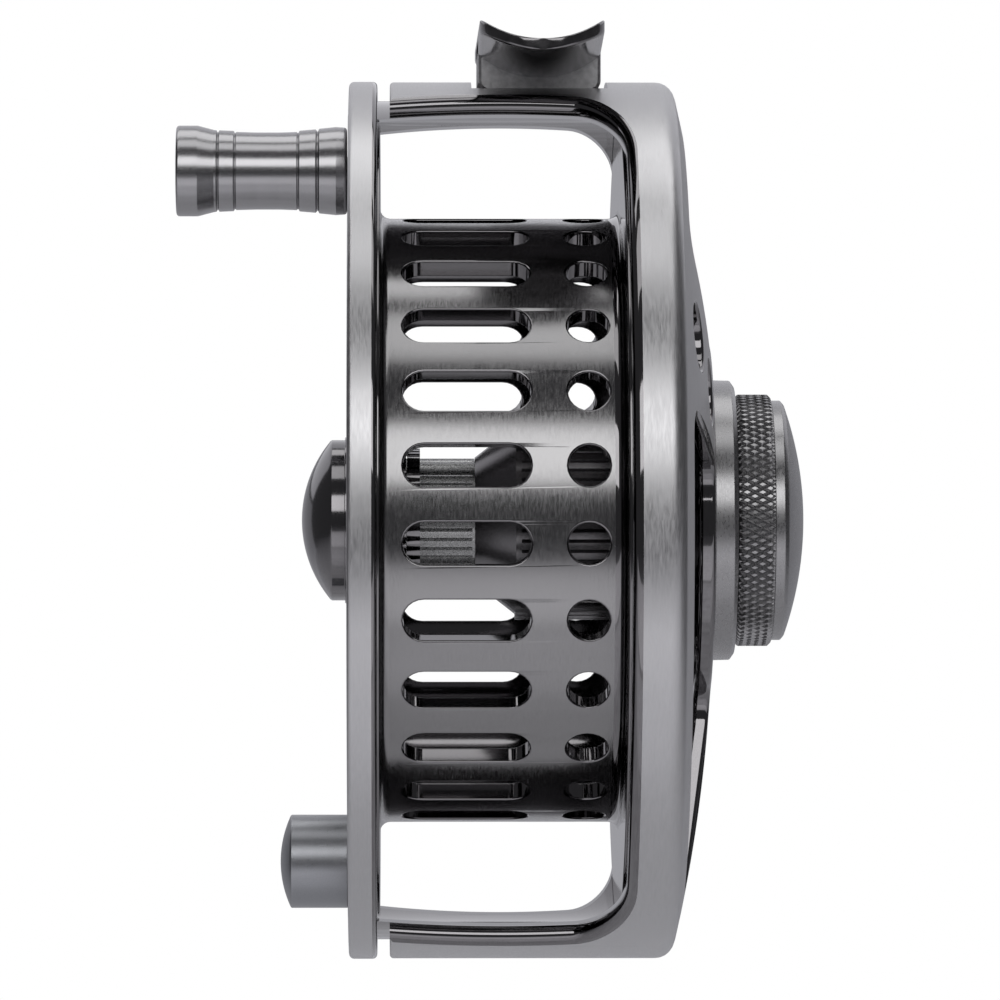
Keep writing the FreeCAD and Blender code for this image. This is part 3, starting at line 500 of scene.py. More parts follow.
def walk(spots, index, way, distance):
    """The point `distance` along the loop from one of its corners."""
    left = distance
    here = spots[index]
    while True:
        index = (index + way) % len(spots)
        step = spots[index] - here
        size = np.linalg.norm(step)
        if size >= left:
            return here + step * (left / size)
        left -= size
        here = spots[index]


def edge_levels(depth, edge, steps=4):
    """(depth below the surface, growth) pairs for a hole with both rims rounded."""
    levels = [(-0.6, edge + 0.35), (-0.02, edge + 0.01)]
    for step in range(steps + 1):
        turn = math.radians(90 * step / steps)
        levels.append((edge * (1 - math.cos(turn)), edge * (1 - math.sin(turn))))
    tail = [(depth - down, grow) for down, grow in levels]
    return levels + tail[::-1]


def finish_piece(piece, body, slot, *nodes):
    """Tie a piece to its body, in place of CAD solids; its finish slot is not used."""
    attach(piece, body)
    if nodes:
        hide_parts(*nodes)
    return piece


# ------------------------------------------------------------------ finishes

def metal(name, tint, roughness, height=0.0, lines=0.2, line_scale=5200.0, relief=0.08,
          blotch=0.06, metallic=1.0, stretch=0.006):
    """Turned metal: fine tool lines round an axis `height` above the spindle, over faint blotches."""
    material = bpy.data.materials.get(name)
    if material:
        return material
    material, nodes, links, shader, place = blank_material(name, metallic)
    parts = nodes.new("ShaderNodeSeparateXYZ")
    links.new(place.outputs["Object"], parts.inputs[0])
    rise = maths(nodes, links, "SUBTRACT", parts.outputs["Z"], (height - SPINDLE_DROP) * MM)
    flat = nodes.new("ShaderNodeCombineXYZ")
    links.new(parts.outputs["Y"], flat.inputs["X"])
    links.new(rise, flat.inputs["Y"])
    radius = nodes.new("ShaderNodeVectorMath")
    radius.operation = "LENGTH"
    links.new(flat.outputs[0], radius.inputs[0])
    turn = maths(nodes, links, "ARCTAN2", rise, parts.outputs["Y"])
    turn = maths(nodes, links, "MULTIPLY", turn, stretch)
    polar = nodes.new("ShaderNodeCombineXYZ")
    links.new(parts.outputs["X"], polar.inputs["X"])
    links.new(radius.outputs["Value"], polar.inputs["Y"])
    links.new(turn, polar.inputs["Z"])
    tool_lines = noise(nodes, links, polar.outputs[0], line_scale, 4.0)
    tool_lines.inputs["Roughness"].default_value = 0.65
    cloud = noise(nodes, links, place.outputs["Object"], 140.0, 3.0)
    rough_lines = spread(nodes, links, tool_lines.outputs["Fac"],
                         roughness * (1 - lines), roughness * (1 + lines))
    rough_cloud = spread(nodes, links, cloud.outputs["Fac"], 1 - blotch, 1 + blotch)
    rough = maths(nodes, links, "MULTIPLY", rough_lines, rough_cloud)
    links.new(rough, shader.inputs["Roughness"])
    tone_and_relief(nodes, links, shader, tool_lines.outputs["Fac"], tint, 0.06, 0.2, relief, 0.00002)
    return material


def blank_material(name, metallic):
    """A new material: itself, its nodes and links, its shader and the piece's own coordinates."""
    material = bpy.data.materials.new(name)
    material.use_nodes = True
    nodes = material.node_tree.nodes
    shader = nodes["Principled BSDF"]
    shader.inputs["Metallic"].default_value = metallic
    return material, nodes, material.node_tree.links, shader, nodes.new("ShaderNodeTexCoord")


def noise(nodes, links, place, scale, detail):
    """A noise texture over some coordinates."""
    node = nodes.new("ShaderNodeTexNoise")
    node.inputs["Scale"].default_value = scale
    node.inputs["Detail"].default_value = detail
    links.new(place, node.inputs["Vector"])
    return node


def tone_and_relief(nodes, links, shader, value, tint, swing_of, band, relief, distance):
    """Vary the colour and the surface's height with one noise value."""
    ramp = nodes.new("ShaderNodeValToRGB")
    for element, place, factor in zip(ramp.color_ramp.elements, (0.5 - band, 0.5 + band),
                                      (1 - swing_of, 1 + swing_of)):
        element.position = place
        element.color = (*[min(1.0, c * factor) for c in tint], 1)
    links.new(value, ramp.inputs["Fac"])
    links.new(ramp.outputs["Color"], shader.inputs["Base Color"])
    bump = nodes.new("ShaderNodeBump")
    bump.inputs["Strength"].default_value = relief
    bump.inputs["Distance"].default_value = distance
    links.new(value, bump.inputs["Height"])
    links.new(bump.outputs["Normal"], shader.inputs["Normal"])


def maths(nodes, links, operation, first, second):
    """A maths node on two values; either may be a number."""
    node = nodes.new("ShaderNodeMath")
    node.operation = operation
    for socket, value in zip(node.inputs, (first, second)):
        if isinstance(value, (int, float)):
            socket.default_value = value
        else:
            links.new(value, socket)
    return node.outputs[0]


def spread(nodes, links, value, low, high):
    """A noise value mapped to a range."""
    node = nodes.new("ShaderNodeMapRange")
    node.inputs["From Min"].default_value = 0.3
    node.inputs["From Max"].default_value = 0.7
    node.inputs["To Min"].default_value = low
    node.inputs["To Max"].default_value = high
    links.new(value, node.inputs["Value"])
    return node.outputs["Result"]


def grained(name, tint, roughness, scale, relief, metallic=0.0, distance=0.00005):
    """Blasted, cast, rubber or woven surface: grain in every direction."""
    material = bpy.data.materials.get(name)
    if material:
        return material
    material, nodes, links, shader, place = blank_material(name, metallic)
    grain = noise(nodes, links, place.outputs["Object"], scale, 5.0).outputs["Fac"]
    rough = spread(nodes, links, grain, roughness * 0.8, min(1.0, roughness * 1.2))
    links.new(rough, shader.inputs["Roughness"])
    tone_and_relief(nodes, links, shader, grain, tint, 0.2, 0.18, relief, distance)
    return material


def finishes():
    """The reel's finishes by name."""
    wish = bpy.context.scene.reel_finishes
    fittings = bpy.context.scene.reel_fittings
    handle = fittings.handle_offset / MM
    weight = -fittings.weight_offset / MM
    smooth = wish.polished_roughness
    satin = wish.satin_roughness
    return {
        "satin": metal("Satin anodised", wish.satin, satin, relief=0.12),
        "polished": metal("Polished edges", wish.polished, smooth, lines=0.2, relief=0.02),
        "turned": metal("Turned arbor", wish.turned, 0.2, lines=0.3, relief=0.1, line_scale=6000.0),
        "bright": metal("Bright handle", wish.bright, 0.22, height=handle, relief=0.2, line_scale=4500.0),
        "knob": metal("Anodised knob", wish.knob, 0.3, relief=0.1),
        "bluish": metal("Bluish satin", wish.bluish, 0.34, height=weight, relief=0.12),
        "cap": metal("Polished cap", wish.polished, 0.12, lines=0.2, relief=0.03),
        "steel": metal("Stainless steel", wish.steel, 0.28, relief=0.2),
        "steel handle": metal("Stainless post", wish.steel, 0.28, height=handle, relief=0.2),
        "bronze": metal("Machined bronze", wish.bronze, 0.35, relief=0.3),
        "drum": metal("Ridged drum", wish.polished, 0.22, relief=0.2),
        "foot": grained("Polished foot", wish.polished, 0.14, 900.0, 0.05, metallic=1.0),
        "pedestal": grained("Milled pedestal", wish.satin, 0.5, 1500.0, 0.6, metallic=1.0),
        "carbon": grained("Carbon disc", (0.03, 0.03, 0.03), 0.55, 2500.0, 0.5),
        "rubber": grained("Nitrile rubber", (0.02, 0.02, 0.02), 0.6, 1800.0, 0.3),
    }


# ------------------------------------------------------------------ spool

def spool_section(size):
    """Half section of the spool: rim, lip recess, web, arbor and right flange."""
    rim = size.rim_radius / MM
    left = size.rim_left / MM
    right = size.rim_right / MM
    arbor = size.arbor_radius / MM
    inside = arbor - size.arbor_wall / MM
    near = size.line_left / MM
    far = size.line_right / MM
    web = left + WEB_INSET
    return [
        (web, HUB_RADIUS, 0.2, 0),
        (web, 41.6, 0.5, 1),
        (left, 43.0, 0.5, 0),
        (left, rim, 0.55, 0),
        (right, rim, 0.5, 1),
        (right, LIP_OUTER, 0.15, 1),
        (right - LIP_DEPTH, LIP_OUTER, 0, 1),
        (right - LIP_DEPTH, LIP_INNER, 0, 1),
        (right, LIP_INNER, 0.1, 1),
        (right, SHOULDER, 0.15, 1),
        (near, SHOULDER, 0.25, 1),
        (near, arbor, 1.1, 2),
        (far, arbor, 1.1, 1),
        (far, FLANGE_RADIUS, 0.25, 1),
        (far + FLANGE_THICK, FLANGE_RADIUS, 0.25, 1),
        (far + FLANGE_THICK, inside, 0.3, 1),
        (web + WEB_THICK, inside, 0.4, 1),
        (web + WEB_THICK, HUB_RADIUS, 0.2, 1),
    ]


def slot_tools(size, materials):
    """Tools for the long slots and round vents right round the arbor."""
    arbor = size.arbor_radius / MM
    edge = size.slot_edge / MM
    width = size.slot_width / MM
    wall = size.arbor_wall / MM
    tools = []
    for step in range(size.slot_count):
        turn = size.slot_phase + 2 * math.pi * step / size.slot_count
        for left, right, wide in ((-14.7, -1.25, width), (2.6, 7.0, 4.4)):
            plan = stadium(left, right, wide)
            loops = []
            for depth, grow in edge_levels(wall, edge):
                level = arbor - depth
                loop = []
                for x, t in grown(plan, grow):
                    out = math.sqrt(level * level - t * t)
                    y = out * math.cos(turn) - t * math.sin(turn)
                    z = out * math.sin(turn) + t * math.cos(turn)
                    loop.append((x, y, z - SPINDLE_DROP))
                loops.append(loop)
            tools.append(skin("slot_tool", loops, materials, 1))
    return tools


def plane_tool(plan, surface, thickness, edge, materials):
    """Tool for a hole in a plate across the spindle; `surface` gives X at each radius."""
    loops = []
    for depth, grow in edge_levels(thickness, edge):
        loop = []
        for y, z in grown(plan, grow):
            loop.append((surface(math.hypot(y, z)) + depth, y, z - SPINDLE_DROP))
        loops.append(loop)
    start = min(x for x, _, _ in loops[0]) - 1
    end = max(x for x, _, _ in loops[-1]) + 1
    loops.insert(0, [(start, y, z) for _, y, z in loops[0]])
    loops.append([(end, y, z) for _, y, z in loops[-1]])
    return skin("plate_tool", loops, materials, 1)


class BuildSpool(bpy.types.Operator):
    """Build the spool: palming rim, flanges, slotted arbor, spoked face and bosses"""

    bl_idname = "fly_reel.build_spool"
    bl_label = "Build spool"

    def execute(self, context):
        """Turn the spool and mill its slots, vents and windows."""
        size = context.scene.reel_spool
        fit = context.scene.reel_fittings
        metals = finishes()
        materials = [metals["satin"], metals["polished"], metals["turned"]]
        spool = lathe("spool_body", spool_section(size), materials, steps=400)
        web = size.rim_left / MM + WEB_INSET
        tools = slot_tools(size, materials)
        for step in range(5):
            plan = sector(12.5, 28.0, 26.0, 54 + 72 * step, 1.6)
            tools.append(plane_tool(plan, lambda r: web, WEB_THICK, 0.4, materials))
        carve(spool, merged("spool_tools", tools))
        finish_piece(spool, "spool", "spool_anodised", "spool")
        face = size.rim_left / MM - BOSS_STAND
        places = (("handle_boss", fit.handle_offset / MM), ("weight_boss", -fit.weight_offset / MM))
        for name, height in places:
            boss = lathe(name, [
                (face, 0, 0, 0),
                (face, BOSS_RADIUS, 0.12, 1),
                (face + BOSS_DEPTH, BOSS_RADIUS, 0, 1),
                (face + BOSS_DEPTH, 0, 0, 1),
            ], materials, height=height, steps=96)
            finish_piece(boss, "spool", "spool_anodised")
        return {"FINISHED"}


# ------------------------------------------------------------------ frame

def dome_face(r):
    """X of the domed back's outer face at a radius, in millimetres."""
    chord = np.array((HUB_FACE - PLATE_EDGE_X, HUB_EDGE - PLATE_EDGE))
    half = np.linalg.norm(chord) / 2
    left = np.array((-chord[1], chord[0])) / (2 * half)
    ends = np.array((PLATE_EDGE_X + HUB_FACE, PLATE_EDGE + HUB_EDGE))
    middle = ends / 2 - left * math.sqrt(DOME_BOW * DOME_BOW - half * half)
    return middle[0] + math.sqrt(DOME_BOW * DOME_BOW - (r - middle[1]) ** 2)


def inner_face(r):
    """X of the domed back's inner face at a radius, in millimetres."""
    return dome_face(r) - PLATE


def frame_section(size):
    """Half section of the frame before its openings are milled."""
    outer = size.outer_radius / MM
    inner = size.inner_radius / MM
    dome = [(dome_face(r), r, 0, 0) for r in np.linspace(43.0, 16.4, 24)]
    inside = [(inner_face(r), r, 0, 1) for r in np.linspace(17.2, inner - 0.1, 20)]
    return [
        (LIP_LEFT, inner, 0.1, 1),
        (LIP_LEFT, LIP_STEP, 0.15, 1),
        (BAR_LEFT, LIP_STEP, 0, 0),
        (BAR_LEFT, outer, 0.4, 0),
        (dome_face(outer), outer, 2.0, 0),
    ] + dome + [
        (HUB_FACE, HUB_EDGE, 0.1, 0),
        (HUB_FACE, 3.0, 0, 1),
        (17.0, 3.0, 0, 1),
        (17.0, 14.2, 0.3, 1),
        (11.4, 14.2, 0.2, 1),
        (11.4, 16.2, 0.2, 1),
        (16.4, 16.2, 0.4, 1),
    ] + inside + [(12.4, inner, 0.2, 1)]


def opening_plan(size):
    """Side opening between the bars as (x, z, nx, nz); the normal points into the metal."""
    waist, waist_x, bow, corner, ring = 43.25, -4.0, 142.0, 5.0, 8.85
    upper = []
    end_x = -20.5
    for x in np.linspace(end_x, ring - corner - 0.3, 40):
        fall = bow - math.sqrt(bow * bow - (x - waist_x) ** 2)
        slope = -(x - waist_x) / math.sqrt(bow * bow - (x - waist_x) ** 2)
        size_n = math.hypot(slope, 1)
        upper.append((x, waist - fall, -slope / size_n, 1 / size_n))
    last = upper[-1]
    tilt = math.atan2(last[3], last[2])
    middle_z = last[1] - corner * math.sin(tilt)
    middle_x = last[0] - corner * math.cos(tilt)
    reach = ring - middle_x
    for step in range(1, 15):
        turn = tilt * (1 - step / 14)
        bend = corner + (reach - corner) * math.sin(math.pi / 2 * step / 14)
        upper.append((middle_x + bend * math.cos(turn), middle_z + corner * math.sin(turn),
                      math.cos(turn), math.sin(turn)))
    side = [(ring, z, 1.0, 0.0) for z in np.linspace(middle_z, -middle_z, 50)[1:-1]]
    lower = [(x, -z, nx, -nz) for x, z, nx, nz in reversed(upper)]
    end = [(end_x, z, -1.0, 0.0) for z in np.linspace(-upper[0][1], upper[0][1], 30)[1:-1]]
    return upper + side + lower + end


def opening_tool(size, materials):
    """Tool that mills both side openings, with a fillet rolled along their outer edges."""
    outer = size.outer_radius / MM
    ball = size.fillet / MM
    steps = 7
    loops = [[] for _ in range(2 * (steps + 3))]
    for x, z, nx, nz in opening_plan(size):
        cx = x + ball * nx
        cz = z + ball * nz
        cy = -math.sqrt((outer - ball) ** 2 - cz * cz)
        out = np.array((0.0, cy, cz)) / (outer - ball)
        inward = np.array((-nx, 0.0, -nz))
        turn = angle_between(out, inward)
        centre = np.array((cx, cy, cz))
        spots = [centre + out * (ball + 2.0)]
        spots.insert(0, np.array((spots[0][0], -60.0, spots[0][2])))
        for step in range(steps + 1):
            spots.append(centre + swing(out, inward, turn, step / steps) * ball)
        for index, spot in enumerate(spots):
            loops[index].append((spot[0], spot[1], spot[2] - SPINDLE_DROP))
            loops[-1 - index].append((spot[0], -spot[1], spot[2] - SPINDLE_DROP))
    return skin("opening_tool", loops, materials, 1)


class BuildFrame(bpy.types.Operator):
    """Build the frame: waisted bars, ring and domed back with windows and holes"""

    bl_idname = "fly_reel.build_frame"
    bl_label = "Build frame"

    def execute(self, context):
        """Turn the frame and mill its openings."""
        size = context.scene.reel_frame
        metals = finishes()
        materials = [metals["satin"], metals["polished"]]
        body = lathe("frame_body", frame_section(size), materials, steps=400)
        carve(body, opening_tool(size, materials))
        edge = size.window_edge / MM
        tools = []
        for step in range(3):
            middle = 90 + 120 * step
            plan = sector(19.5, 42.0, 46.0, middle, 3.2)
            tools.append(plane_tool(plan, inner_face, PLATE, edge, materials))
            turn = math.radians(middle + 180)
            for radius in ARM_HOLE_PLACES:
                y_off, z_off = radius * math.cos(turn), radius * math.sin(turn)
                plan = [(y_off + y, z_off + z) for y, z in stadium(-ARM_HOLE / 2, ARM_HOLE / 2, ARM_HOLE, 24)]
                tools.append(plane_tool(plan, inner_face, PLATE, ARM_HOLE_EDGE, materials))
        seat = [(-7.3, -22), (7.3, -22), (7.3, 22), (-7.3, 22)]
        loops = [[(x, y, z - SPINDLE_DROP) for x, y in seat] for z in (46.3, 52.0)]
        tools.append(skin("seat_tool", loops, materials, 1))
        carve(body, merged("frame_tools", tools))
        finish_piece(body, "frame", "frame_anodised", "frame")
        return {"FINISHED"}


class BuildFoot(bpy.types.Operator):
    """Build the rod foot: saddle-shaped blade with thinned ends on its pedestal"""

    bl_idname = "fly_reel.build_foot"
    bl_label = "Build foot"

    def execute(self, context):
        """Loft the blade and the pedestal."""
        size = context.scene.reel_frame
        metals = finishes()
        half = size.foot_width / MM / 2
        saddle = size.saddle_radius / MM
        tip = size.tip_thickness / MM
        reach = 31.0
        loops = []
        for y in blade_stations(reach, half):
            wide = half
            if abs(y) > reach - half:
                wide = math.sqrt(max(half ** 2 - (abs(y) - reach + half) ** 2, 0.0))
            thick = tip + (2.9 - tip) * max(0.0, (reach - abs(y)) / (reach - 10.0))
            loops.append(blade_loop(y, max(wide, 0.15), min(thick, 2.9), saddle))
        blade = skin("foot_blade", loops, [metals["foot"]], 0)
        finish_piece(blade, "frame", "foot_anodised", "reel_foot")
        loops = []
        for y, inset in ((-10.0, 0.35), (-9.75, 0.1), (-9.4, 0.0), (9.4, 0.0), (9.75, 0.1), (10.0, 0.35)):
            loops.append(pedestal_loop(y, half - inset, saddle))
        pedestal = skin("foot_pedestal", loops, [metals["pedestal"]], 0)
        finish_piece(pedestal, "frame", "foot_anodised")
        return {"FINISHED"}


def blade_stations(reach, half):
    """Places along the foot, closer together round its tips."""
    tips = [reach - half + half * math.sin(math.radians(a)) for a in np.linspace(0, 89.3, 22)]
    middle = list(np.linspace(-(reach - half), reach - half, 30))
    return [-y for y in reversed(tips)] + middle[1:-1] + tips


def blade_loop(y, wide, thick, saddle):
    """One cross-section of the blade: saddle above, its parallel below, rounded edges."""
    corners = []
    for x in np.linspace(-wide, wide, 21):
        corners.append((x, saddle - math.sqrt(saddle ** 2 - x * x), 0))
    lower = []
    for x in np.linspace(wide, -wide, 21):
        lower.append((x, saddle - math.sqrt(saddle ** 2 - x * x) - thick, 0))
    ring = []
    rounding = min(0.45, thick * 0.4, wide * 0.6)
    marked = [(x, z, rounding if index in (0, 20) else 0) for index, (x, z, _) in enumerate(corners)]
    marked += [(x, z, rounding if index in (0, 20) else 0) for index, (x, z, _) in enumerate(lower)]
    for x, z in even_rounding(marked):
        ring.append((x, y, z))
    return ring


def even_rounding(corners, steps=5):
    """Round the marked corners while keeping the number of points the same for every loop."""
    spots = [np.array(c[:2]) for c in corners]
    loop = []
    for index, corner in enumerate(corners):
        if corner[2] > 0:
            before = walk(spots, index, -1, corner[2])
            after = walk(spots, index, 1, corner[2])
            for step in range(steps + 1):
                t = step / steps
                loop.append(tuple((1 - t) ** 2 * before + 2 * t * (1 - t) * spots[index] + t * t * after))
            continue
        spot = spots[index]
        for other in corners:
            if other[2] > 0 and math.dist(spot, other[:2]) < other[2]:
                near = np.array(other[:2])
                away = spots[index] - near
                spot = near + away / np.linalg.norm(away) * other[2] * 1.001
        loop.append(tuple(spot))
    return loop


def pedestal_loop(y, half, saddle):
    """One cross-section of the pedestal, under the blade."""
    corners = []
    for x in np.linspace(-half, half, 15):
        corners.append((x, saddle - math.sqrt(saddle ** 2 - x * x) - 1.2, 0))
    for turn in np.radians(np.linspace(0, 90, 6)):
        corners.append((half - 0.8 + 0.8 * math.cos(turn), -3.2 - 0.8 * math.sin(turn), 0))
    for turn in np.radians(np.linspace(90, 180, 6)):
        corners.append((-half + 0.8 + 0.8 * math.cos(turn), -3.2 - 0.8 * math.sin(turn), 0))
    return [(x, y, z) for x, z, _ in corners]


# ------------------------------------------------------------------ handle side

class BuildHandle(bpy.types.Operator):
    """Build the turned winding handle"""

    bl_idname = "fly_reel.build_handle"
    bl_label = "Build handle"

    def execute(self, context):
        """Turn the handle with its grooves."""
        height = context.scene.reel_fittings.handle_offset / MM
        metals = finishes()
        left, right = -39.2, BOSS_FACE - 0.1
        corners = [
            (left, 2.6, 0.1, 0), (left, 4.92, 0.35, 0), (-36.9, 4.92, 0.5, 0),
            (-35.1, 4.45, 0.3, 0), (-34.85, 4.42, 0.08, 0), (-34.7, 4.12, 0.06, 0), (-34.55, 4.42, 0.08, 0),
            (-33.0, 4.36, 0.06, 0), (-32.85, 4.1, 0.06, 0), (-32.7, 4.24, 0.06, 0),
            (-30.5, 4.18, 1.5, 0), (-28.0, 4.18, 1.5, 0), (-26.15, 4.24, 0.06, 0), (-26.0, 4.08, 0.06, 0),
            (-25.85, 4.38, 0.06, 0), (-24.1, 4.53, 0.06, 0), (-23.9, 4.25, 0.06, 0), (-23.7, 4.6, 0.06, 0),
            (-21.9, 4.78, 0.3, 0), (right, 4.7, 0.35, 0), (right, 2.4, 0, 0),
            (left + 2, 2.4, 0, 0), (left + 2, 2.6, 0, 0),
        ]
        handle = lathe("handle_turned", corners, [metals["bright"]], height=height, steps=160)
        finish_piece(handle, "handle", "handle_bright", "handle_knob")
        return {"FINISHED"}


class BuildCounterweight(bpy.types.Operator):
    """Build the counterweight with its shallow dome"""

    bl_idname = "fly_reel.build_counterweight"
    bl_label = "Build counterweight"

    def execute(self, context):
        """Turn the counterweight."""
        fit = context.scene.reel_fittings
        radius = fit.weight_radius / MM
        metals = finishes()
        left = -27.9
        corners = bowed((left, 0.0), (left + 1.1, radius - 0.1), dome_radius(1.1, radius - 0.1))
        corners += [(left + 1.22, radius, 0.08, 0), (BOSS_FACE, radius, 0.1, 0), (BOSS_FACE, 0, 0, 0)]
        weight = lathe("counterweight_body", corners, [metals["bluish"]],
                       height=-fit.weight_offset / MM, steps=160)
        finish_piece(weight, "spool", "weight_satin", "counterweight")
        return {"FINISHED"}


class BuildSpoolCap(bpy.types.Operator):
    """Build the domed cap that locks the spool"""

    bl_idname = "fly_reel.build_spool_cap"
    bl_label = "Build spool cap"

    def execute(self, context):
        """Turn the cap."""
        radius = context.scene.reel_fittings.cap_radius / MM
        metals = finishes()
        corners = bowed((-25.6, 0.0), (-22.5, radius - 0.12), dome_radius(3.1, radius - 0.12), steps=28)
        corners += [
            (-22.3, radius, 0.08, 0), (-20.9, radius, 0.05, 0), (-20.9, radius + 0.3, 0.05, 0),
            (BOSS_FACE, radius + 0.3, 0.05, 0), (BOSS_FACE, radius - 1.3, 0, 0),
            (-22.1, radius - 1.3, 0, 0),
            (-23.2, radius - 3.2, 0, 0), (-24.4, 0, 0, 0),
        ]
        cap = lathe("spool_cap_dome", corners, [metals["cap"]], steps=200)
        finish_piece(cap, "cap", "cap_anodised", "spool_cap")
        return {"FINISHED"}


# ------------------------------------------------------------------ drag knob

def knurled_band(name, left, right, radius, count, depth, materials):
    """Diamond knurling: one low pyramid with a small flat for each diamond, chamfered at both ends."""
    pitch = 1.66
    rows = int(math.ceil((right - left) / pitch)) + 1
    work = bmesh.new()
    verts = {}

    def vertex(u, v, raised):
        """The knurl's vertex at a place in its own slanting grid."""
        around = (u + v) / 2
        along = (u - v) / 2
        turn = 2 * math.pi * around / count
        tag = (round((turn % (2 * math.pi)) * 1e5) % 628319, round(along * 1e4), raised)
        if tag not in verts:
            r = radius if raised else radius - depth
            verts[tag] = work.verts.new((left + along * pitch, r * math.cos(turn), r * math.sin(turn)))
        return verts[tag]

    flat = 0.22
    for ring in range(count):
        for row in range(-1, 2 * rows + 1):
            u0 = ring + (row + 1) // 2
            v0 = ring - row + (row + 1) // 2
            base = [vertex(u0 + a, v0 + b, False) for a, b in ((0, 0), (1, 0), (1, 1), (0, 1))]
            low, high = 0.5 - flat, 0.5 + flat
            tops = ((low, low), (high, low), (high, high), (low, high))
            top = [vertex(u0 + a, v0 + b, True) for a, b in tops]
            work.faces.new(top)
            for side in range(4):
                following = (side + 1) % 4
                work.faces.new((base[side], base[following], top[following], top[side]))
    chamfer = 0.35
    for place, normal in ((left + 0.02, -1), (right - 0.02, 1)):
        every = list(work.verts) + list(work.edges) + list(work.faces)
        bmesh.ops.bisect_plane(work, geom=every, plane_co=(place, 0, 0), plane_no=(normal, 0, 0),
                               clear_outer=True)
    for place in (left + chamfer, right - chamfer):
        every = list(work.verts) + list(work.edges) + list(work.faces)
        bmesh.ops.bisect_plane(work, geom=every, plane_co=(place, 0, 0), plane_no=(1, 0, 0))
    for vert in work.verts:
        end = min(vert.co.x - left, right - vert.co.x)
        limit = radius - max(0.0, chamfer - end)
        r = math.hypot(vert.co.y, vert.co.z)
        if r > limit:
            vert.co.y *= limit / r
            vert.co.z *= limit / r
    bmesh.ops.recalc_face_normals(work, faces=work.faces)
    work.verts.ensure_lookup_table()
    mesh = bpy.data.meshes.new(name)
    for vert in work.verts:
        vert.co = Vector((vert.co.x, vert.co.y, vert.co.z - SPINDLE_DROP)) * MM
    work.to_mesh(mesh)
    work.free()
    for material in materials:
        mesh.materials.append(material)
    mesh.polygons.foreach_set("use_smooth", [False] * len(mesh.polygons))
    mesh.update()
    centre = Vector((0, 0, -SPINDLE_DROP * MM))
    inward = sum(1 for face in mesh.polygons if face.normal.yz.dot((face.center - centre).yz) < 0)
    if inward > len(mesh.polygons) / 2:
        mesh.flip_normals()
    piece = bpy.data.objects.new(name, mesh)
    bpy.context.scene.collection.objects.link(piece)
    return piece


class BuildDragKnob(bpy.types.Operator):
    """Build the knurled drag knob, its domed cap and the ring behind it"""

    bl_idname = "fly_reel.build_drag_knob"
    bl_label = "Build drag knob"

    def execute(self, context):
        """Turn the knob's parts and roll its knurling."""
        fit = context.scene.reel_fittings
        radius = fit.knob_radius / MM
        depth = fit.knurl_depth / MM
        metals = finishes()
        materials = [metals["knob"], metals["polished"]]
        left, right = KNOB_LEFT, KNOB_RIGHT
        core = lathe("knob_core", [
            (left, 10.2, 0, 1), (left, radius - 0.38, 0.05, 1), (right, radius - 0.38, 0.05, 1),
            (right, 3.1, 0, 1), (right - 0.7, 3.1, 0, 1), (right - 0.7, 10.2, 0, 1),
        ], materials, steps=160)
        finish_piece(core, "knob", "knob_anodised", "drag_knob")
        band = knurled_band("knob_knurling", left, right, radius, fit.knurl_count, depth, [metals["knob"]])
        finish_piece(band, "knob", "knob_anodised")
        step = 13.0
        dome = bowed((26.62, step - 0.45), (28.8, 0.0), dome_radius(2.18, step - 0.45), steps=28)
        cap = lathe("knob_cap_dome", [
            (right, 11.4, 0, 1), (right, step, 0.1, 0), (26.25, step, 0.25, 0),
        ] + dome + [(27.7, 0, 0, 1), (26.3, 10.6, 0, 1), (25.4, 11.4, 0, 1)], materials, steps=200)
        finish_piece(cap, "knob", "knob_anodised", "knob_cap")
        ring = lathe("knob_back_ring", [
            (HUB_FACE, 9.2, 0, 1), (HUB_FACE, 15.2, 0.1, 0), (20.75, 15.15, 0.25, 0),
            (21.2, 14.5, 0.15, 1), (21.2, 9.2, 0, 1),
        ], materials, steps=200)
        finish_piece(ring, "frame", "knob_anodised", "back_ring")
        return {"FINISHED"}


# ------------------------------------------------------------------ inside and small parts

CARRIED = {
    "steel": ("foot_screws", "counterweight_screw", "spindle", "spindle_nut", "knob_retainer", "drive_sleeve",
              "clutch_shell", "clutch_rollers", "bearing_inner_races", "bearing_outer_races", "bearing_balls",
              "steel_discs", "click_pawl", "pawl_pin", "pawl_spring", "drag_spring", "thrust_washer",
              "pressure_plate", "thrust_pins"),
    "steel handle": ("handle_post", "handle_screw"),
    "bronze": ("handle_bushes", "cap_collar", "drum_bush", "knob_insert", "drag_nut"),
    "polished": ("spool_hub", "sleeve_collar", "click_gear"),
    "drum": ("drag_drum",),
    "carbon": ("carbon_discs",),
    "rubber": ("drum_seal", "cap_oring"),
}


class DressInnerParts(bpy.types.Operator):
    """Give every carried-over solid its finish, and most of them a fine bevel on their sharp edges"""

    bl_idname = "fly_reel.dress_inner_parts"
    bl_label = "Finish inner parts"

    def execute(self, context):
        """Set the finish of each solid and give most of them a fine bevel on their sharp edges."""
        metals = finishes()
        for finish, names in CARRIED.items():
            for name in names:
                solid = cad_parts[name]
                solid.data.materials.clear()
                solid.data.materials.append(metals[finish])
                if name in ("drive_sleeve", "drag_drum", "click_gear", "click_pawl"):
                    continue
                edge = solid.modifiers.new("edge", "BEVEL")
                edge.width = 0.00006
                edge.segments = 2
                edge.limit_method = "ANGLE"
                edge.angle_limit = math.radians(40)
        return {"FINISHED"}


# ------------------------------------------------------------------ studio

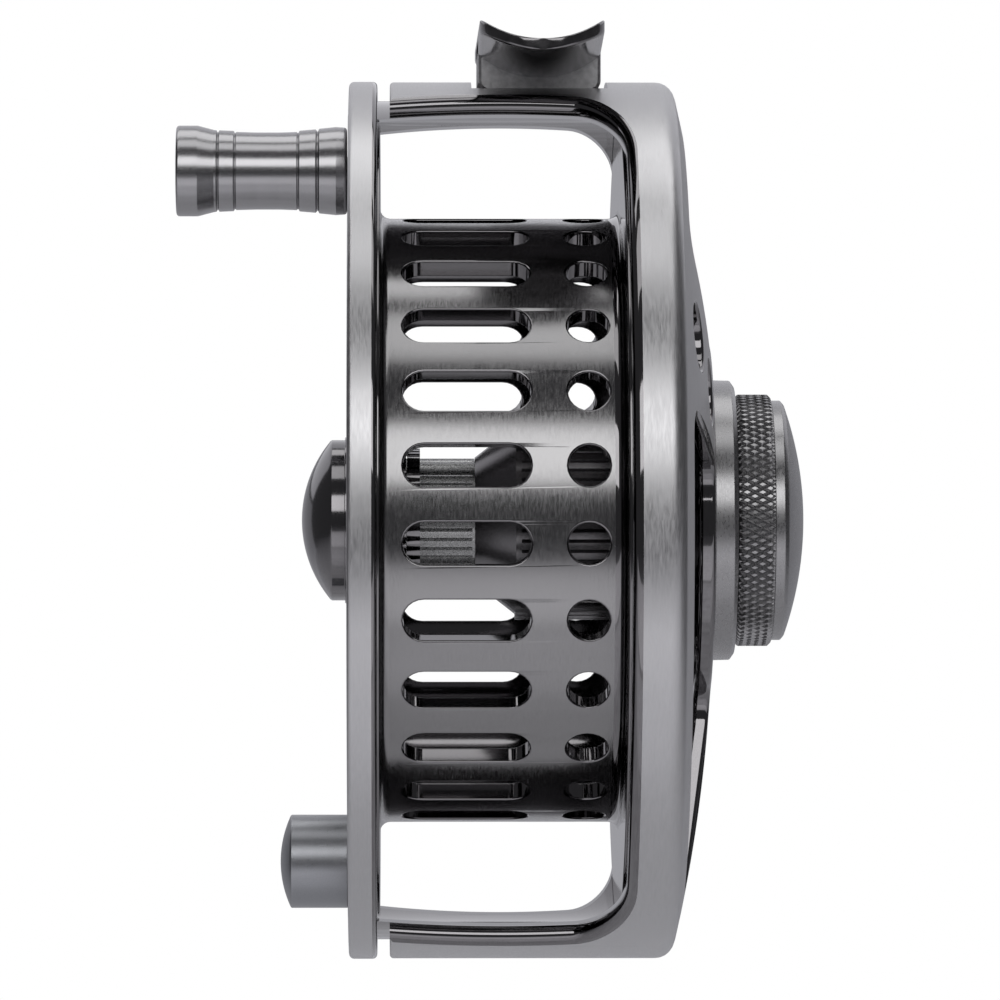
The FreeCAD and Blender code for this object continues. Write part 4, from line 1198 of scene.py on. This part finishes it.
# Name, lowest and highest elevation in degrees, distance and length in metres, radiance, tint.
PANELS = (
    ("key panel", 13, 36, 1.1, 1.5, 2.7, (1.0, 1.0, 1.0)),
    ("top panel", 62, 84, 1.1, 1.5, 1.6, (1.0, 1.0, 1.0)),
    ("high panel", 92, 122, 1.1, 1.5, 1.9, (1.0, 1.0, 1.0)),
    ("low strip", -38, -16, 0.5, 2.4, 0.62, (0.97, 0.96, 1.0)),
    ("low fill", -88, -40, 0.38, 2.4, 0.22, (0.95, 0.94, 1.0)),
    ("back panel", 126, 170, 1.2, 2.6, 0.75, (0.95, 0.95, 1.0)),
    ("back fill", 172, 200, 1.2, 2.6, 0.3, (0.93, 0.93, 1.0)),
)


def panel_light(centre, name, low, high, distance, reach, radiance, tint):
    """Long soft panel parallel to the spindle that fills the elevations low to high, in degrees."""
    middle = math.radians((low + high) / 2)
    half = math.radians((high - low) / 2)
    lamp = bpy.data.lights.new(name, "AREA")
    lamp.shape = "RECTANGLE"
    lamp.size = reach
    lamp.size_y = 2 * distance * math.tan(half)
    lamp.energy = radiance * math.pi * lamp.size * lamp.size_y
    lamp.color = tint
    panel = bpy.data.objects.new(name, lamp)
    away = Vector((0, -math.cos(middle), math.sin(middle)))
    panel.location = centre + away * distance
    panel.rotation_mode = "QUATERNION"
    panel.rotation_quaternion = away.to_track_quat("Z", "X")
    turned_over = panel.rotation_quaternion @ Vector((1, 0, 0))
    if abs(turned_over.x) < 0.9:
        lamp.size, lamp.size_y = lamp.size_y, lamp.size
    panel.visible_camera = False
    bpy.context.scene.collection.objects.link(panel)
    return panel


class BuildStage(bpy.types.Operator):
    """Build the pale floor, the soft lights, the background and the camera"""

    bl_idname = "fly_reel.build_stage"
    bl_label = "Build studio"

    def execute(self, context):
        """Lay the floor, hang the lights and set up the camera."""
        scene = context.scene
        wish = scene.reel_stage
        centre = Vector((0, 0, -SPINDLE_DROP * MM))
        floor_height = -wish.floor_drop
        mesh = bpy.data.meshes.new("floor")
        far = 2.0
        mesh.from_pydata([(-far, -far, floor_height), (far, -far, floor_height),
                          (far, far, floor_height), (-far, far, floor_height)], [], [(0, 1, 2, 3)])
        floor = bpy.data.objects.new("floor", mesh)
        scene.collection.objects.link(floor)
        mesh.materials.append(grained("Pale floor", (0.8, 0.8, 0.82), 0.7, 30.0, 0.02))
        for panel in PANELS:
            panel_light(centre, *panel)
        world = bpy.data.worlds.new("studio")
        world.use_nodes = True
        nodes = world.node_tree.nodes
        links = world.node_tree.links
        nodes.clear()
        out = nodes.new("ShaderNodeOutputWorld")
        rays = nodes.new("ShaderNodeLightPath")
        mix = nodes.new("ShaderNodeMixShader")
        dim = nodes.new("ShaderNodeBackground")
        dim.inputs["Color"].default_value = (0.09, 0.09, 0.095, 1)
        pale = nodes.new("ShaderNodeBackground")
        pale.inputs["Color"].default_value = (*wish.pale, 1)
        links.new(rays.outputs["Is Camera Ray"], mix.inputs[0])
        links.new(dim.outputs[0], mix.inputs[1])
        links.new(pale.outputs[0], mix.inputs[2])
        links.new(mix.outputs[0], out.inputs["Surface"])
        scene.world = world
        camera = bpy.data.cameras.new("camera")
        camera.lens = wish.lens
        camera.sensor_width = 36
        camera.clip_start = 0.05
        camera.clip_end = 30
        eye = bpy.data.objects.new("camera", camera)
        eye.location = (-0.015, -wish.camera_distance, centre.z)
        aim = Vector((-0.0041, 0, centre.z + 0.0022))
        eye.rotation_mode = "QUATERNION"
        eye.rotation_quaternion = (aim - eye.location).to_track_quat("-Z", "Y")
        scene.collection.objects.link(eye)
        scene.camera = eye
        scene.view_settings.view_transform = "Standard"
        return {"FINISHED"}


# ------------------------------------------------------------------ panel and run

class FlyReelPanel(bpy.types.Panel):
    """Lists the settings and builders of the fly reel"""

    bl_label = "Fly Reel"
    bl_idname = "VIEW3D_PT_fly_reel"
    bl_space_type = "VIEW_3D"
    bl_region_type = "UI"
    bl_category = "Fly Reel"

    def draw(self, context):
        """Draw the settings, then a button for each builder."""
        for group in SETTINGS:
            box = self.layout.box()
            box.label(text=group.__doc__.rstrip("."))
            for name in group.__annotations__:
                box.prop(getattr(context.scene, SETTINGS[group]), name)
        for builder in BUILDERS:
            self.layout.operator(builder.bl_idname)


SETTINGS = {
    ReelSpoolSettings: "reel_spool",
    ReelFrameSettings: "reel_frame",
    ReelFittingSettings: "reel_fittings",
    ReelFinishSettings: "reel_finishes",
    ReelStageSettings: "reel_stage",
}
BUILDERS = (BuildSpool, BuildFrame, BuildFoot, BuildHandle, BuildCounterweight, BuildSpoolCap,
            BuildDragKnob, DressInnerParts, BuildStage)


def register():
    """Add the settings, builders and panel to Blender."""
    for group, name in SETTINGS.items():
        bpy.utils.register_class(group)
        setattr(bpy.types.Scene, name, PointerProperty(type=group))
    for builder in BUILDERS:
        bpy.utils.register_class(builder)
    bpy.utils.register_class(FlyReelPanel)


def unregister():
    """Take the panel, builders and settings out of Blender."""
    bpy.utils.unregister_class(FlyReelPanel)
    for builder in reversed(BUILDERS):
        bpy.utils.unregister_class(builder)
    for group, name in reversed(SETTINGS.items()):
        delattr(bpy.types.Scene, name)
        bpy.utils.unregister_class(group)


def main():
    """Build everything."""
    register()
    for builder in BUILDERS:
        group, name = builder.bl_idname.split(".")
        getattr(getattr(bpy.ops, group), name)()


if __name__ == "__main__":
    main()
